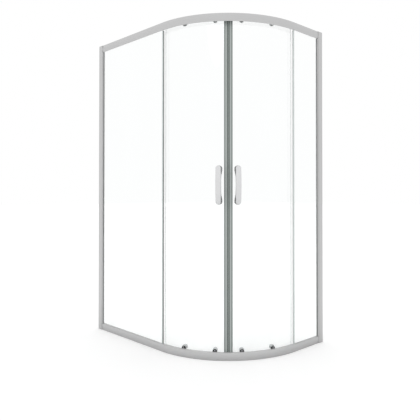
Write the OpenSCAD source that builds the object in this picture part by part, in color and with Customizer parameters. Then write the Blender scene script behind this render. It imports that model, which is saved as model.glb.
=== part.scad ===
// Corner shower enclosure with a quarter-round front and two curved sliding doors.
// The bathroom corner is at -X, +Y. The long side runs along X and the short side along Y.
// Every side piece is drawn once, on the long side, and mirrored over to the short side.

/* [Enclosure] */
// Length of the long side, from its wall to the outer face of the short side
long_side = 1200; // [1100:10:1500]
// Length of the short side, from its wall to the outer face of the long side
short_side = 800; // [780:10:1000]
// Height of the whole enclosure
height = 1850; // [1750:10:2000]
// Radius of the outer face of the rails round the corner
corner_r = 530; // [520:5:560]

/* [Rails] */
// Height of the bottom rail
bottom_h = 42; // [40:1:50]
// Height of the top rail's outer skirt
top_h = 44; // [42:1:50]
// How far the face of a rail bulges between its edges
face_bulge = 3.5; // [2:0.25:4]
// Thickness of the webs in a rail
web_t = 2.5; // [2:0.1:3]
// Distance from the outer face to the groove for the fixed glass
groove_n = 5; // [4.5:0.1:6]
// Height of the groove's floor above the base of its rail
groove_floor = 18; // [17:0.5:22]
// Thickness of the groove's inner wall
groove_wall = 1.2; // [1:0.1:1.6]
// Depth of the web that covers the doors from above
cover_d = 37; // [36:0.5:40]
// Depth of the bottom rail's base web
base_d = 27; // [24:0.5:30]
// How far the track web of the top rail sits above the rim of the groove
track_rise = 4; // [3:0.5:6]
// Thickness of the lip that the wheels run on
lip_t = 1.6; // [1.2:0.1:2]

/* [Glass] */
// Thickness of the glass
glass_t = 5; // [4:0.5:6]
// Thickness of the gasket on each side of the fixed glass
gasket_t = 1; // [0.8:0.1:1.5]
// Distance from the outer face of the rails to the outer face of a door
door_n = 30.5; // [30:0.5:33]
// Gap from the floor to the lower edge of a door
door_low = 30.5; // [29:0.5:34]
// Gap from the top of the enclosure to the upper edge of a door
door_top_gap = 8; // [6:0.5:10]
// Gap between the fixed glass and the bottom of its top groove
glass_top_gap = 4; // [2:0.5:6]

/* [Doors] */
// How far a door turns when it opens fully, in degrees
open_angle = 23.5; // [18:0.5:23.5]
// Distance of the door's turning point from the arc's centre, towards the wall
pivot_back = 8.3; // [6:0.1:9]
// Distance of the door's turning point from the arc's centre, away from the outer face
pivot_in = 6.1; // [4:0.1:7]
// Gap between the two doors where they meet
meeting_gap = 0.4; // [0.4:0.1:2]
// Width of the closing profile on the front edge of a door
closing_w = 23; // [22:0.5:26]
// Width of the magnet in the closing profile
magnet_w = 7; // [5:0.5:8]
// Wall of the plastic seal profiles
seal_t = 1; // [0.8:0.1:1.2]
// Distance from the glass's front edge to the meeting line
glass_back = 12.5; // [12:0.5:14]
// How far the arms of a rear seal reach along the glass
clip_l = 9; // [7:0.5:12]
// Thickness of the fins between a door and its fixed glass
fin_t = 1.4; // [1:0.1:2]
// Gap between the two fins when the door is closed
fin_gap = 0.6; // [0.5:0.1:1.5]
// Height of the space above and below the fins, where the rollers pass
fin_clear = 60; // [58:1:90]

/* [Rollers] */
// Angle from the meeting line to the front rollers
front_angle = 8.3; // [7:0.1:10]
// Angle from the meeting line to the rear rollers
rear_angle = 29; // [27:0.1:30]
// Radius of a wheel's flanges
wheel_r = 11; // [10.5:0.5:12]
// Depth of the groove round a wheel
tread_depth = 1.2; // [1:0.1:1.5]
// Width of a wheel
wheel_w = 8; // [7.8:0.1:8.4]
// Width of the groove round a wheel
tread_w = 6.6; // [6.2:0.1:6.8]
// Radius of a wheel's axle
axle_r = 3; // [2:0.1:3.2]
// Running clearance between a wheel's bore and its axle
bore_gap = 0.06; // [0.03:0.01:0.1]
// Gap between a wheel's tread and the lip that it runs on
tread_gap = 0.35; // [0.3:0.05:0.6]
// Distance from a rail's base plane to the wheel's axle
axle_h = 20; // [19:0.5:22]
// Distance from the wheel's axle down to the fixing of a top roller
hanger_drop = 8.5; // [8:0.5:10]
// Distance from the lower wheel's axle up to the fixing of a bottom roller
clamp_rise = 27; // [27:0.5:30]
// Radius of the roller bodies on the outer face of a door
roller_body_r = 12; // [11:0.5:13]
// Radius of the knobs on the inner face of a door
knob_r = 13; // [12:0.5:14]
// Thickness of the knobs of the top rollers
top_knob_t = 8; // [6:0.5:10]
// Thickness of the release housings of the bottom rollers
release_t = 14.5; // [14:0.5:16]
// How far a bottom wheel drops when its release is pressed
release_travel = 5; // [4:0.5:5]
// Radius of the release stem
stem_r = 2.4; // [2:0.1:2.6]
// Width of the thumb pad
pad_w = 8; // [7:0.5:9]
// Height of the thumb pad
pad_h = 9; // [8:0.5:10]
// Wire thickness of the release spring
spring_wire = 0.9; // [0.6:0.1:1]

/* [Handles] */
// Height of the middle of the handles above the floor
handle_z = 931; // [900:1:1100]
// Length of a handle
handle_l = 211; // [180:1:260]
// Width of a handle
handle_w = 28; // [22:1:30]
// How far the middle of a handle stands out from its washers
handle_reach = 44; // [38:1:50]
// How far the ends of a handle stand out
handle_end_reach = 23; // [20:1:26]
// Depth of the finger gap behind a handle
finger_gap = 33; // [28:1:36]
// Angle from the meeting line to the handles
handle_angle = 5.8; // [5:0.1:7]
// Thickness of the washers under a handle
washer_t = 1; // [0.8:0.1:1.5]
// Radius of the caps over the handle screws
cap_r = 9; // [8:0.5:10]
// Height of the caps over the handle screws
cap_t = 5.5; // [5:0.5:7]

/* [Wall profiles] */
// Width of a wall channel, away from the wall
channel_w = 40; // [36:1:45]
// Depth of a wall channel, from the outer face inwards
channel_d = 20; // [19:0.5:40]
// Sheet thickness of a wall channel
channel_t = 1.8; // [1.4:0.1:2.2]
// How far a jamb stands out of its wall channel
jamb_show = 12; // [12:1:25]
// How far a jamb reaches into its wall channel
jamb_in = 24; // [20:1:28]
// Wall thickness of a jamb
jamb_t = 1.6; // [1.4:0.1:2]
// Sliding clearance between a jamb and its wall channel
jamb_gap = 0.3; // [0.2:0.1:0.5]
// How deep the fixed glass sits in its jamb
glass_bite = 10; // [8:0.5:11]
// Width of the gasket lip beside a jamb
lip_show = 7; // [4:0.5:9]

/* [Fasteners] */
// Radius of the screw holes in the wall channels
wall_hole_r = 3; // [2.5:0.1:3.5]
// Distance between the screw holes of a wall channel
wall_hole_step = 550; // [450:5:560]
// Distance between the screws that join a jamb to its channel
jamb_screw_step = 700; // [500:5:750]
// Radius of the jamb screws
jamb_screw_r = 2; // [1.5:0.1:2.2]
// Length of the jamb screws below the head
jamb_screw_l = 13; // [11:0.5:14]
// Radius of the screws that hold the handles and rollers
screw_r = 2.5; // [2:0.1:2.6]
// Radius of their heads
screw_head_r = 4.3; // [4:0.1:4.4]
// Height of their heads
screw_head_h = 2.5; // [2:0.1:2.8]
// Length of the screws below the head
screw_l = 13; // [12:0.5:14]
// Radius of the glass holes for the roller fixings
roller_hole_r = 6; // [5.5:0.1:6.5]
// Radius of the glass holes for the handle screws
handle_hole_r = 4; // [3.5:0.1:5]
// Clearance between parts that fit together
fit_gap = 0.1; // [0.05:0.01:0.2]

/* [Hidden] */

// Facets round the large arcs and round the small pieces
arc_fn = 256;
small_fn = 48;

aluminium_grey = [0.79, 0.79, 0.79];
glass_tint = [0.90, 0.97, 0.96, 0.35];
seal_clear = [0.68, 0.72, 0.71];
rubber_grey = [0.42, 0.43, 0.43];
handle_silver = [0.86, 0.86, 0.87];
nylon_black = [0.08, 0.08, 0.08];
nylon_white = [0.92, 0.92, 0.90];
knob_grey = [0.62, 0.63, 0.64];
steel = [0.70, 0.71, 0.72];

LONG = 0;
SHORT = 1;
FRONT = 0;
REAR = 1;

// Sizes across a rail, each measured inwards from the outer face
groove_w = glass_t + 2 * gasket_t;
groove_end = groove_n + groove_w;
body_d = groove_end + groove_wall;
fixed_n = groove_n + gasket_t;
// Sideways room that a wheel needs, because the door's turning point is not the arc's centre
wander = 2.1;
wheel_n = body_d + wander + 0.9;
lip_n = wheel_n + wheel_w / 2;
lip_edge = lip_n + lip_t / 2;
tread_r = wheel_r - tread_depth;
lip_level = axle_h + tread_r + tread_gap;
face_r = function (h) (pow(h / 2, 2) + pow(face_bulge, 2)) / (2 * face_bulge);

// Arc centre in the frame whose origin is the middle of the footprint
arc_x = long_side / 2 - corner_r;
arc_y = corner_r - short_side / 2;
function run(side) = (side == LONG ? long_side : short_side) - corner_r;
function arc_deg(length, r) = length / r * 180 / PI;

door_outer_r = corner_r - door_n;
door_inner_r = door_outer_r - glass_t;
outer_seat = door_n - fit_gap;
inner_seat = door_n + glass_t + 0.3;
door_z0 = door_low;
door_z1 = height - door_top_gap;
glass_z0 = groove_floor + 2;
glass_z1 = height - groove_floor - glass_top_gap;

top_fix_z = height - axle_h - hanger_drop;
low_fix_z = axle_h + clamp_rise;
body_n = lip_n + wheel_w / 2 + 0.6;
head_n = body_n + 0.3;
pad_top = low_fix_z + 9;
stem_n = inner_seat + 8.7;
// The spring's closed length is that of five turns lying on each other
stem_floor = pad_top - pad_h - release_travel - 5 * spring_wire;

function roller_phi(place) = 45 - (place == FRONT ? front_angle : rear_angle);
handle_phi = 45 - handle_angle;
handle_screw_step = handle_l - handle_w;

// Ends of the parts along the straight, measured from the end of the arc towards the wall
edge_seal_end = -3;
door_fin_u = edge_seal_end + fin_t + fin_gap;
door_rear_u = door_fin_u + fin_t + 3;
door_rear_phi = -arc_deg(door_rear_u, door_outer_r);
door_front_phi = 45 - arc_deg(glass_back, door_outer_r);

// Where the rear wheels stand when the door is fully open
pivot = [-pivot_back, pivot_in];
rear_wheel = (corner_r - lip_n) * [sin(45 - rear_angle), -cos(45 - rear_angle)];
function turned(p, a) = pivot + [
    (p - pivot).x * cos(a) + (p - pivot).y * sin(a),
    (p - pivot).y * cos(a) - (p - pivot).x * sin(a)
];
stop_u = -turned(rear_wheel, open_angle).x + wheel_r + 0.5;

// Where a jamb's pocket for the glass ends, and where the jamb is cut back beside the rails
function mouth(side) = run(side) - channel_w;
function pocket_end(side) = mouth(side) - jamb_show + glass_bite + 1;
function cut_back(side) = max(mouth(side), pocket_end(side) + jamb_t) + jamb_gap;
jamb_screw_u = 30;
jamb_screw_z = [
    bottom_h / 2, height / 2 - jamb_screw_step, height / 2,
    height / 2 + jamb_screw_step, height - top_h / 2
];

// Moves what is drawn round the arc's centre on the long side to the side that is named
module on_side(side) {
    translate([arc_x, arc_y, 0])
        if (side == LONG) children(); else mirror([1, 1, 0]) children();
}

// Local frame at an angle round the arc: X points outwards from the rails' outer face
module at_angle(phi) {
    rotate([0, 0, phi - 90]) translate([corner_r, 0, 0]) children();
}

// Part of a ring between two depths and two angles
module ring_part(n0, n1, z0, z1, phi0, phi1) {
    rotate([0, 0, phi0 - 90])
        rotate_extrude(angle = phi1 - phi0, $fn = arc_fn)
            translate([corner_r - n1, z0]) square([n1 - n0, z1 - z0]);
}

// Box along the straight: u runs towards the wall and n inwards
module straight_box(u0, u1, n0, n1, z0, z1) {
    translate([-u1, n0 - corner_r, z0]) cube([u1 - u0, n1 - n0, z1 - z0]);
}

// Round bar along a radius, from depth n0 inwards to depth n1
module radial_bar(r, n0, n1, z) {
    translate([-n0, 0, z]) rotate([0, -90, 0]) cylinder(r = r, h = n1 - n0, $fn = small_fn);
}

// Round bar across the straight, from depth n0 inwards to depth n1
module cross_bar(r, u, n0, n1, z) {
    translate([-u, n0 - corner_r, z]) rotate([-90, 0, 0])
        cylinder(r = r, h = n1 - n0, $fn = small_fn);
}

// Rail profiles: X is minus the depth, Y is the height above the rail's base plane
module rail_body(h, inner_h) {
    difference() {
        intersection() {
            translate([-face_r(h), h / 2]) circle(r = face_r(h), $fn = arc_fn);
            translate([-body_d, 0]) square([body_d, h]);
        }
        translate([-groove_end, groove_floor]) square([groove_w, h]);
        translate([-body_d - 1, inner_h]) square([groove_wall + 1 + groove_w, h]);
        translate([-groove_end, web_t])
            square([groove_w + 0.5, groove_floor - 2 * web_t]);
    }
}

module track(level, far_level) {
    translate([-lip_edge, level]) square([lip_edge - body_d + groove_wall / 2, web_t]);
    translate([-lip_edge, far_level]) square([lip_t, level - far_level + web_t / 2]);
}

module bottom_profile() {
    rail_body(bottom_h, bottom_h);
    translate([-base_d, 0]) square([base_d - body_d + groove_wall / 2, web_t]);
    track(bottom_h - web_t, lip_level);
}

module top_profile() {
    rail_body(top_h, top_h - 3);
    translate([-cover_d, 0]) square([cover_d - body_d + groove_wall / 2, web_t]);
    track(top_h - 3 - track_rise - web_t, lip_level);
}

// A profile carried along both straights and the arc, in one piece
module rail_sweep() {
    translate([arc_x, arc_y, 0]) {
        rotate([0, 0, -90]) rotate_extrude(angle = 90, $fn = arc_fn)
            translate([corner_r, 0]) children();
        rotate([0, 0, -90]) rotate([90, 0, 0])
            linear_extrude(run(LONG) - channel_w) translate([corner_r, 0]) children();
        translate([0, run(SHORT) - channel_w, 0]) rotate([90, 0, 0])
            linear_extrude(run(SHORT) - channel_w) translate([corner_r, 0]) children();
    }
}

module bottom_rail() {
    color(aluminium_grey) rail_sweep() bottom_profile();
}

module top_rail() {
    color(aluminium_grey) translate([0, 0, height]) rail_sweep() mirror([0, 1]) top_profile();
}

// Straight pieces that join the enclosure to the walls
module wall_channel(side) {
    u1 = run(side);
    u0 = u1 - channel_w;
    color(aluminium_grey) on_side(side) difference() {
        straight_box(u0, u1, 0, channel_d, 0, height);
        straight_box(u0 - 1, u1 - channel_t, channel_t, channel_d - channel_t, -1, height + 1);
        for (k = [-1.5:1.5]) translate([-u1 - 1, channel_d / 2 - corner_r, height / 2 + k * wall_hole_step])
            rotate([0, 90, 0]) cylinder(r = wall_hole_r, h = channel_t + 2, $fn = small_fn);
        for (z = jamb_screw_z)
            cross_bar(jamb_screw_r + fit_gap, u1 - jamb_screw_u, channel_d / 2, channel_d + 1, z);
    }
}

module jamb(side) {
    u0 = mouth(side) - jamb_show;
    u1 = mouth(side) + jamb_in;
    n0 = channel_t + jamb_gap;
    n1 = channel_d - channel_t - jamb_gap;
    pocket = pocket_end(side);
    color(aluminium_grey) on_side(side) difference() {
        straight_box(u0, u1, n0, n1, 0.5, height - 3);
        straight_box(pocket + jamb_t, u1 - jamb_t, n0 + jamb_t, n1 - jamb_t, -1, height);
        straight_box(u0 + jamb_t, pocket + jamb_t + 1, body_d, n1 - jamb_t, -1, height);
        straight_box(u0 - 1, pocket, groove_n, groove_end, -1, height);
        straight_box(u0 - 1, cut_back(side), -1, channel_d + 1, -1, bottom_h + jamb_gap);
        straight_box(u0 - 1, cut_back(side), -1, channel_d + 1, height - top_h - jamb_gap, height);
        for (z = jamb_screw_z)
            cross_bar(jamb_screw_r + fit_gap, run(side) - jamb_screw_u, channel_d / 2, channel_d, z);
    }
}

module jamb_gasket(side) {
    u0 = mouth(side) - jamb_show;
    z0 = bottom_h + 1;
    z1 = height - top_h - 1;
    on_side(side) {
        straight_box(u0, u0 + glass_bite, groove_n, fixed_n, z0, z1);
        straight_box(u0 - lip_show, u0, groove_n - 1.5, fixed_n, z0, z1);
        straight_box(u0, u0 + glass_bite, groove_end - gasket_t, groove_end, z0, z1);
        straight_box(u0 - lip_show, u0, groove_end - gasket_t, groove_end + 1.5, z0, z1);
    }
}

module jamb_gaskets() {
    color(rubber_grey) for (side = [LONG, SHORT]) jamb_gasket(side);
}

module jamb_screw(side, z) {
    u = run(side) - jamb_screw_u;
    on_side(side) {
        cross_bar(jamb_screw_r, u, channel_d - jamb_screw_l, channel_d, z);
        cross_bar(2 * jamb_screw_r, u, channel_d, channel_d + 2, z);
    }
}

module jamb_screws() {
    color(steel) for (side = [LONG, SHORT]) for (z = jamb_screw_z) jamb_screw(side, z);
}

module jamb_screw_cap(side, z) {
    u = run(side) - jamb_screw_u;
    on_side(side) difference() {
        cross_bar(2 * jamb_screw_r + 2, u, channel_d + fit_gap, channel_d + 3.5, z);
        cross_bar(2 * jamb_screw_r + 0.5, u, channel_d - 1, channel_d + 2.2, z);
    }
}

module jamb_screw_caps() {
    color(knob_grey) for (side = [LONG, SHORT]) for (z = jamb_screw_z) jamb_screw_cap(side, z);
}

// Moulded block that fills a jamb's open end and plugs into the rail beside it
module corner_block(side, z0, z1, plug_z0) {
    u0 = cut_back(side);
    inside_n0 = channel_t + jamb_gap + jamb_t + fit_gap;
    inside_n1 = channel_d - channel_t - jamb_gap - jamb_t - fit_gap;
    on_side(side) difference() {
        union() {
            straight_box(u0, mouth(side) + jamb_in - jamb_t - 1, inside_n0, inside_n1, z0, z1);
            straight_box(mouth(side) - 14, u0 + 1, groove_n + fit_gap, groove_end - fit_gap,
                plug_z0, plug_z0 + groove_floor - 2 * web_t - 2 * fit_gap);
        }
        cross_bar(jamb_screw_r + fit_gap, run(side) - jamb_screw_u,
            channel_d - jamb_screw_l - 1, channel_d, (z0 + z1) / 2);
    }
}

module corner_blocks() {
    half = 14;
    color(nylon_black) for (side = [LONG, SHORT]) {
        corner_block(side, bottom_h / 2 - half, bottom_h / 2 + half, web_t + fit_gap);
        corner_block(side, height - top_h / 2 - half, height - top_h / 2 + half,
            height - groove_floor + web_t + fit_gap);
    }
}

module channel_cap(side) {
    on_side(side) straight_box(mouth(side), run(side) - channel_t - jamb_gap,
        channel_t + jamb_gap, channel_d - channel_t - jamb_gap, height - 2.5, height);
}

module channel_caps() {
    color(knob_grey) for (side = [LONG, SHORT]) channel_cap(side);
}

// Fixed panes, with what holds and seals them
module fixed_glass(side) {
    end_u = mouth(side) - jamb_show + glass_bite;
    color(glass_tint) on_side(side)
        straight_box(1, end_u, fixed_n, fixed_n + glass_t, glass_z0, glass_z1);
}

module rail_gasket(side, z0, z1) {
    u0 = 6;
    u1 = mouth(side) - jamb_show;
    on_side(side) {
        straight_box(u0, u1, groove_n, fixed_n, z0, z1);
        straight_box(u0, u1, groove_end - gasket_t, groove_end, z0, z1);
    }
}

module rail_gaskets() {
    color(rubber_grey) for (side = [LONG, SHORT]) {
        rail_gasket(side, groove_floor + 8, bottom_h);
        rail_gasket(side, height - top_h + 3, height - groove_floor - 8);
    }
}

module setting_blocks() {
    block_l = 40;
    color(rubber_grey) for (side = [LONG, SHORT]) on_side(side)
        for (u = [50, mouth(side) - jamb_show - 50 - block_l])
            straight_box(u, u + block_l, groove_n + 0.2, groove_end - 0.2, groove_floor, glass_z0);
}

module edge_seal(side) {
    z0 = bottom_h + 1;
    z1 = height - top_h - 1;
    on_side(side) {
        straight_box(edge_seal_end, 1, groove_n, groove_end, z0, z1);
        straight_box(1, 5, groove_n, fixed_n, z0, z1);
        straight_box(1, 5, groove_end - gasket_t, groove_end, z0, z1);
        straight_box(edge_seal_end, edge_seal_end + fin_t, groove_end, door_n - 4,
            fin_clear, height - fin_clear);
    }
}

module edge_seals() {
    color(seal_clear) for (side = [LONG, SHORT]) edge_seal(side);
}

// Strips that close the glass groove along the arc, where no pane stands in it
module groove_cover(z_rim, down) {
    wall = 1.2;
    leg = 8;
    n0 = groove_n + fit_gap;
    n1 = groove_end - fit_gap;
    far = z_rim + down * leg;
    low = min(z_rim, far);
    difference() {
        ring_part(n0, n1, low, low + leg, 0.5, 89.5);
        ring_part(n0 + wall, n1 - wall, low + (down < 0 ? -1 : wall),
            low + leg + (down < 0 ? -wall : 1), 0, 90);
    }
}

module groove_covers() {
    color(aluminium_grey) translate([arc_x, arc_y, 0]) {
        groove_cover(bottom_h - 0.3, -1);
        groove_cover(height - top_h + 3.3, 1);
    }
}

module door_stops() {
    stop_l = 10;
    n0 = body_d + fit_gap;
    n1 = lip_edge - lip_t - fit_gap;
    top_floor = height - top_h + 3 + track_rise + web_t;
    color(nylon_black) for (side = [LONG, SHORT]) on_side(side) {
        straight_box(stop_u, stop_u + stop_l, n0, n1, top_floor, height - axle_h + 4);
        straight_box(stop_u, stop_u + stop_l, n0, n1, axle_h - 4, bottom_h - web_t);
    }
}

// Curved doors
module door_glass(side) {
    color(glass_tint) on_side(side) difference() {
        ring_part(door_n, door_n + glass_t, door_z0, door_z1, door_rear_phi, door_front_phi);
        for (place = [FRONT, REAR]) at_angle(roller_phi(place)) {
            radial_bar(roller_hole_r, door_n - 5, door_n + glass_t + 5, top_fix_z);
            radial_bar(roller_hole_r, door_n - 5, door_n + glass_t + 5, low_fix_z);
        }
        at_angle(handle_phi) for (k = [-1, 1])
            radial_bar(handle_hole_r, door_n - 5, door_n + glass_t + 5,
                handle_z + k * handle_screw_step / 2);
    }
}

// Flat outline of part of a ring, between two depths and two angles of less than a right angle
module ring_outline(n0, n1, phi0, phi1) {
    far = 2 * corner_r;
    intersection() {
        difference() {
            circle(r = corner_r - n0, $fn = arc_fn);
            circle(r = corner_r - n1, $fn = arc_fn);
        }
        polygon([[0, 0], far * [sin(phi0), -cos(phi0)], far * [sin(phi1), -cos(phi1)]]);
    }
}

// Plastic profile with a clip for the glass and a pocket for the magnet
module closing_profile(side) {
    n0 = door_n - seal_t;
    n1 = door_n + glass_t + seal_t;
    pocket_d = 2;
    start = 45 - arc_deg(closing_w, door_outer_r);
    pocket_phi = 45 - arc_deg(magnet_w + 2 * seal_t, door_outer_r);
    end = 45 - arc_deg(meeting_gap / 2, door_outer_r);
    color(seal_clear) on_side(side) translate([0, 0, door_z0]) linear_extrude(door_z1 - door_z0)
        difference() {
            union() {
                ring_outline(n0, n1, start, pocket_phi + 0.1);
                ring_outline(n0 - pocket_d, n1 + pocket_d, pocket_phi, end);
            }
            ring_outline(door_n, door_n + glass_t,
                start - 1, door_front_phi + arc_deg(1, door_outer_r));
            ring_outline(n0 - pocket_d + seal_t, n1 + pocket_d - seal_t,
                pocket_phi + arc_deg(seal_t, door_outer_r), end - arc_deg(seal_t, door_outer_r));
        }
}

module magnet(side) {
    end = 45 - arc_deg(meeting_gap / 2 + seal_t + fit_gap, door_outer_r);
    n0 = door_n - 2 + fit_gap;
    n1 = door_n + glass_t + 2 - fit_gap;
    color(rubber_grey) on_side(side)
        ring_part(n0, n1, door_z0 + 2, door_z1 - 2, end - arc_deg(magnet_w - 1, door_outer_r), end);
}

module rear_seal(side) {
    n0 = door_n - seal_t;
    n1 = door_n + glass_t + seal_t;
    start = door_rear_phi - arc_deg(seal_t + fit_gap, door_outer_r);
    color(seal_clear) on_side(side) {
        difference() {
            ring_part(n0, n1, door_z0, door_z1, start, door_rear_phi + arc_deg(clip_l, door_outer_r));
            ring_part(door_n, door_n + glass_t, door_z0 - 1, door_z1 + 1,
                door_rear_phi - arc_deg(fit_gap, door_outer_r), 5);
        }
        straight_box(door_fin_u, door_fin_u + fin_t, groove_end + 2, n0 + 0.3,
            bottom_h + 4, height - top_h - 4);
    }
}

// Bow handle: an arched side view cut to a rounded front view
module handle(side) {
    back_n = door_n - fit_gap - washer_t;
    rise = handle_reach - handle_end_reach;
    outer_r = (pow(handle_l / 2, 2) + pow(rise, 2)) / (2 * rise);
    gap_half = handle_l / 2 - handle_w + 4;
    inner_r = (pow(gap_half, 2) + pow(finger_gap, 2)) / (2 * finger_gap);
    color(handle_silver) on_side(side) at_angle(handle_phi)
        translate([-back_n, 0, handle_z]) difference() {
            intersection() {
                rotate([90, 0, 0]) linear_extrude(handle_w, center = true) difference() {
                    intersection() {
                        translate([handle_reach - outer_r, 0]) circle(r = outer_r, $fn = arc_fn);
                        translate([0, -handle_l / 2]) square([handle_reach, handle_l]);
                    }
                    translate([finger_gap - inner_r, 0]) circle(r = inner_r, $fn = arc_fn);
                }
                rotate([0, 90, 0]) linear_extrude(handle_reach) union() {
                    square([handle_screw_step, handle_w], center = true);
                    for (k = [-1, 1]) translate([k * handle_screw_step / 2, 0])
                        circle(d = handle_w, $fn = small_fn);
                }
            }
            for (k = [-1, 1]) translate([-1, 0, k * handle_screw_step / 2])
                rotate([0, 90, 0]) cylinder(r = screw_r + fit_gap, h = screw_l, $fn = small_fn);
        }
}

module handle_washers(side) {
    color(seal_clear) on_side(side) at_angle(handle_phi) for (k = [-1, 1]) difference() {
        radial_bar(handle_w / 2 - 1, outer_seat - washer_t, outer_seat,
            handle_z + k * handle_screw_step / 2);
        radial_bar(screw_r + fit_gap, outer_seat - 5, outer_seat + 5,
            handle_z + k * handle_screw_step / 2);
    }
}

module handle_caps(side) {
    color(knob_grey) on_side(side) at_angle(handle_phi) for (k = [-1, 1]) difference() {
        radial_bar(cap_r, inner_seat, inner_seat + cap_t, handle_z + k * handle_screw_step / 2);
        radial_bar(screw_head_r + 0.3, inner_seat - 1, inner_seat + screw_head_h + 0.5,
            handle_z + k * handle_screw_step / 2);
    }
}

// Screws: from inside into the handles, from outside into the knobs and release housings
module door_screws(side) {
    color(steel) on_side(side) {
        at_angle(handle_phi) for (k = [-1, 1]) {
            z = handle_z + k * handle_screw_step / 2;
            radial_bar(screw_head_r, inner_seat, inner_seat + screw_head_h, z);
            radial_bar(screw_r, inner_seat - screw_l, inner_seat, z);
        }
        for (place = [FRONT, REAR]) at_angle(roller_phi(place)) for (z = [top_fix_z, low_fix_z]) {
            radial_bar(screw_head_r, head_n, head_n + screw_head_h, z);
            radial_bar(screw_r, head_n + screw_head_h, head_n + screw_head_h + screw_l, z);
        }
    }
}

// Rollers
module wheel(side, place, z) {
    half = wheel_w / 2;
    bore = axle_r + bore_gap;
    recess_r = axle_r + 2.2;
    recess_h = 1.6;
    color(nylon_white) on_side(side) at_angle(roller_phi(place))
        translate([-lip_n, 0, z]) rotate([0, 90, 0]) rotate_extrude($fn = small_fn)
            polygon([
                [bore, -half], [wheel_r, -half], [wheel_r, -tread_w / 2], [tread_r, -tread_w / 2],
                [tread_r, tread_w / 2], [wheel_r, tread_w / 2], [wheel_r, half],
                [recess_r, half], [recess_r, half - recess_h], [bore, half - recess_h]
            ]);
}

module roller_bushes(side) {
    body_z = top_fix_z + hanger_drop / 2;
    hole_n = door_n + glass_t;
    color(nylon_black) on_side(side) for (place = [FRONT, REAR]) at_angle(roller_phi(place))
        difference() {
            union() {
                radial_bar(roller_body_r, body_n, outer_seat, body_z);
                radial_bar(roller_hole_r - 2 * fit_gap, outer_seat - 1, hole_n, top_fix_z);
            }
            radial_bar(screw_r + fit_gap, body_n - 1, hole_n + 1, top_fix_z);
            radial_bar(screw_head_r + fit_gap, body_n - 1, head_n + screw_head_h, top_fix_z);
            radial_bar(axle_r + fit_gap / 2, body_n - 1, outer_seat - 1, height - axle_h);
        }
}

module roller_axles(side) {
    head_face = lip_n - wheel_w / 2 + 0.2;
    color(steel) on_side(side) for (place = [FRONT, REAR]) at_angle(roller_phi(place)) {
        radial_bar(axle_r + 1.6, head_face, head_face + 1.2, height - axle_h);
        radial_bar(axle_r, head_face + 1.2, outer_seat - 1.2, height - axle_h);
    }
}

module top_knobs(side) {
    color(knob_grey) on_side(side) for (place = [FRONT, REAR]) at_angle(roller_phi(place))
        difference() {
            radial_bar(knob_r, inner_seat, inner_seat + top_knob_t, top_fix_z);
            radial_bar(screw_r + fit_gap, inner_seat - 1, head_n + screw_head_h + screw_l + 0.5,
                top_fix_z);
        }
}

module roller_clamps(side) {
    body_z = low_fix_z - 6;
    hole_n = door_n + glass_t;
    color(nylon_black) on_side(side) for (place = [FRONT, REAR]) at_angle(roller_phi(place))
        difference() {
            union() {
                radial_bar(roller_body_r, body_n, outer_seat, body_z);
                radial_bar(roller_hole_r - 2 * fit_gap, outer_seat - 1, hole_n, low_fix_z);
            }
            radial_bar(screw_r + fit_gap, body_n - 1, hole_n + 1, low_fix_z);
            radial_bar(screw_head_r + fit_gap, body_n - 1, head_n + screw_head_h, low_fix_z);
        }
}

// Round housing with a window for the thumb pad and a slot for the stem
module release_housings(side) {
    face = inner_seat + release_t;
    window = pad_w / 2 + 0.3;
    back = stem_n - stem_r - spring_wire - 0.6;
    color(knob_grey) on_side(side) for (place = [FRONT, REAR]) at_angle(roller_phi(place))
        difference() {
            radial_bar(knob_r, inner_seat, face, low_fix_z);
            translate([-face - 1, -window, stem_floor])
                cube([face + 1 - back, 2 * window, pad_top + 0.3 - stem_floor]);
            translate([-face - 1, -stem_r - 0.2, low_fix_z - knob_r - 1])
                cube([face + 1 - stem_n + stem_r + 0.2, 2 * stem_r + 0.4, knob_r]);
            radial_bar(screw_r + fit_gap, inner_seat - 1, head_n + screw_head_h + screw_l + 0.3,
                low_fix_z);
        }
}

// Arm that carries the bottom wheel, passes under the glass and rises to the thumb pad
module release(side, place) {
    arm_w = 12;
    arm_top = axle_h + 6;
    arm_low = axle_h - 6;
    head_face = lip_n - wheel_w / 2 + 0.2;
    color(nylon_black) on_side(side) at_angle(roller_phi(place)) {
        translate([-stem_n - stem_r - 0.5, -arm_w / 2, arm_low])
            cube([stem_n + stem_r + 0.5 - body_n - 0.2, arm_w, arm_top - arm_low]);
        radial_bar(axle_r, head_face + 1, body_n + 1, axle_h);
        radial_bar(axle_r + 1.6, head_face, head_face + 1.2, axle_h);
        translate([-stem_n, 0, arm_top - 1])
            cylinder(r = stem_r, h = pad_top - pad_h - arm_top + 2, $fn = small_fn);
        translate([-inner_seat - release_t - 2, -pad_w / 2, pad_top - pad_h])
            cube([inner_seat + release_t + 2 - stem_n + stem_r, pad_w, pad_h]);
    }
}

module release_spring(side, place) {
    color(steel) on_side(side) at_angle(roller_phi(place)) translate([-stem_n, 0, stem_floor])
        difference() {
            cylinder(r = stem_r + 0.3 + spring_wire, h = pad_top - pad_h - stem_floor, $fn = small_fn);
            translate([0, 0, -1]) cylinder(r = stem_r + 0.3, h = height, $fn = small_fn);
        }
}

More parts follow.
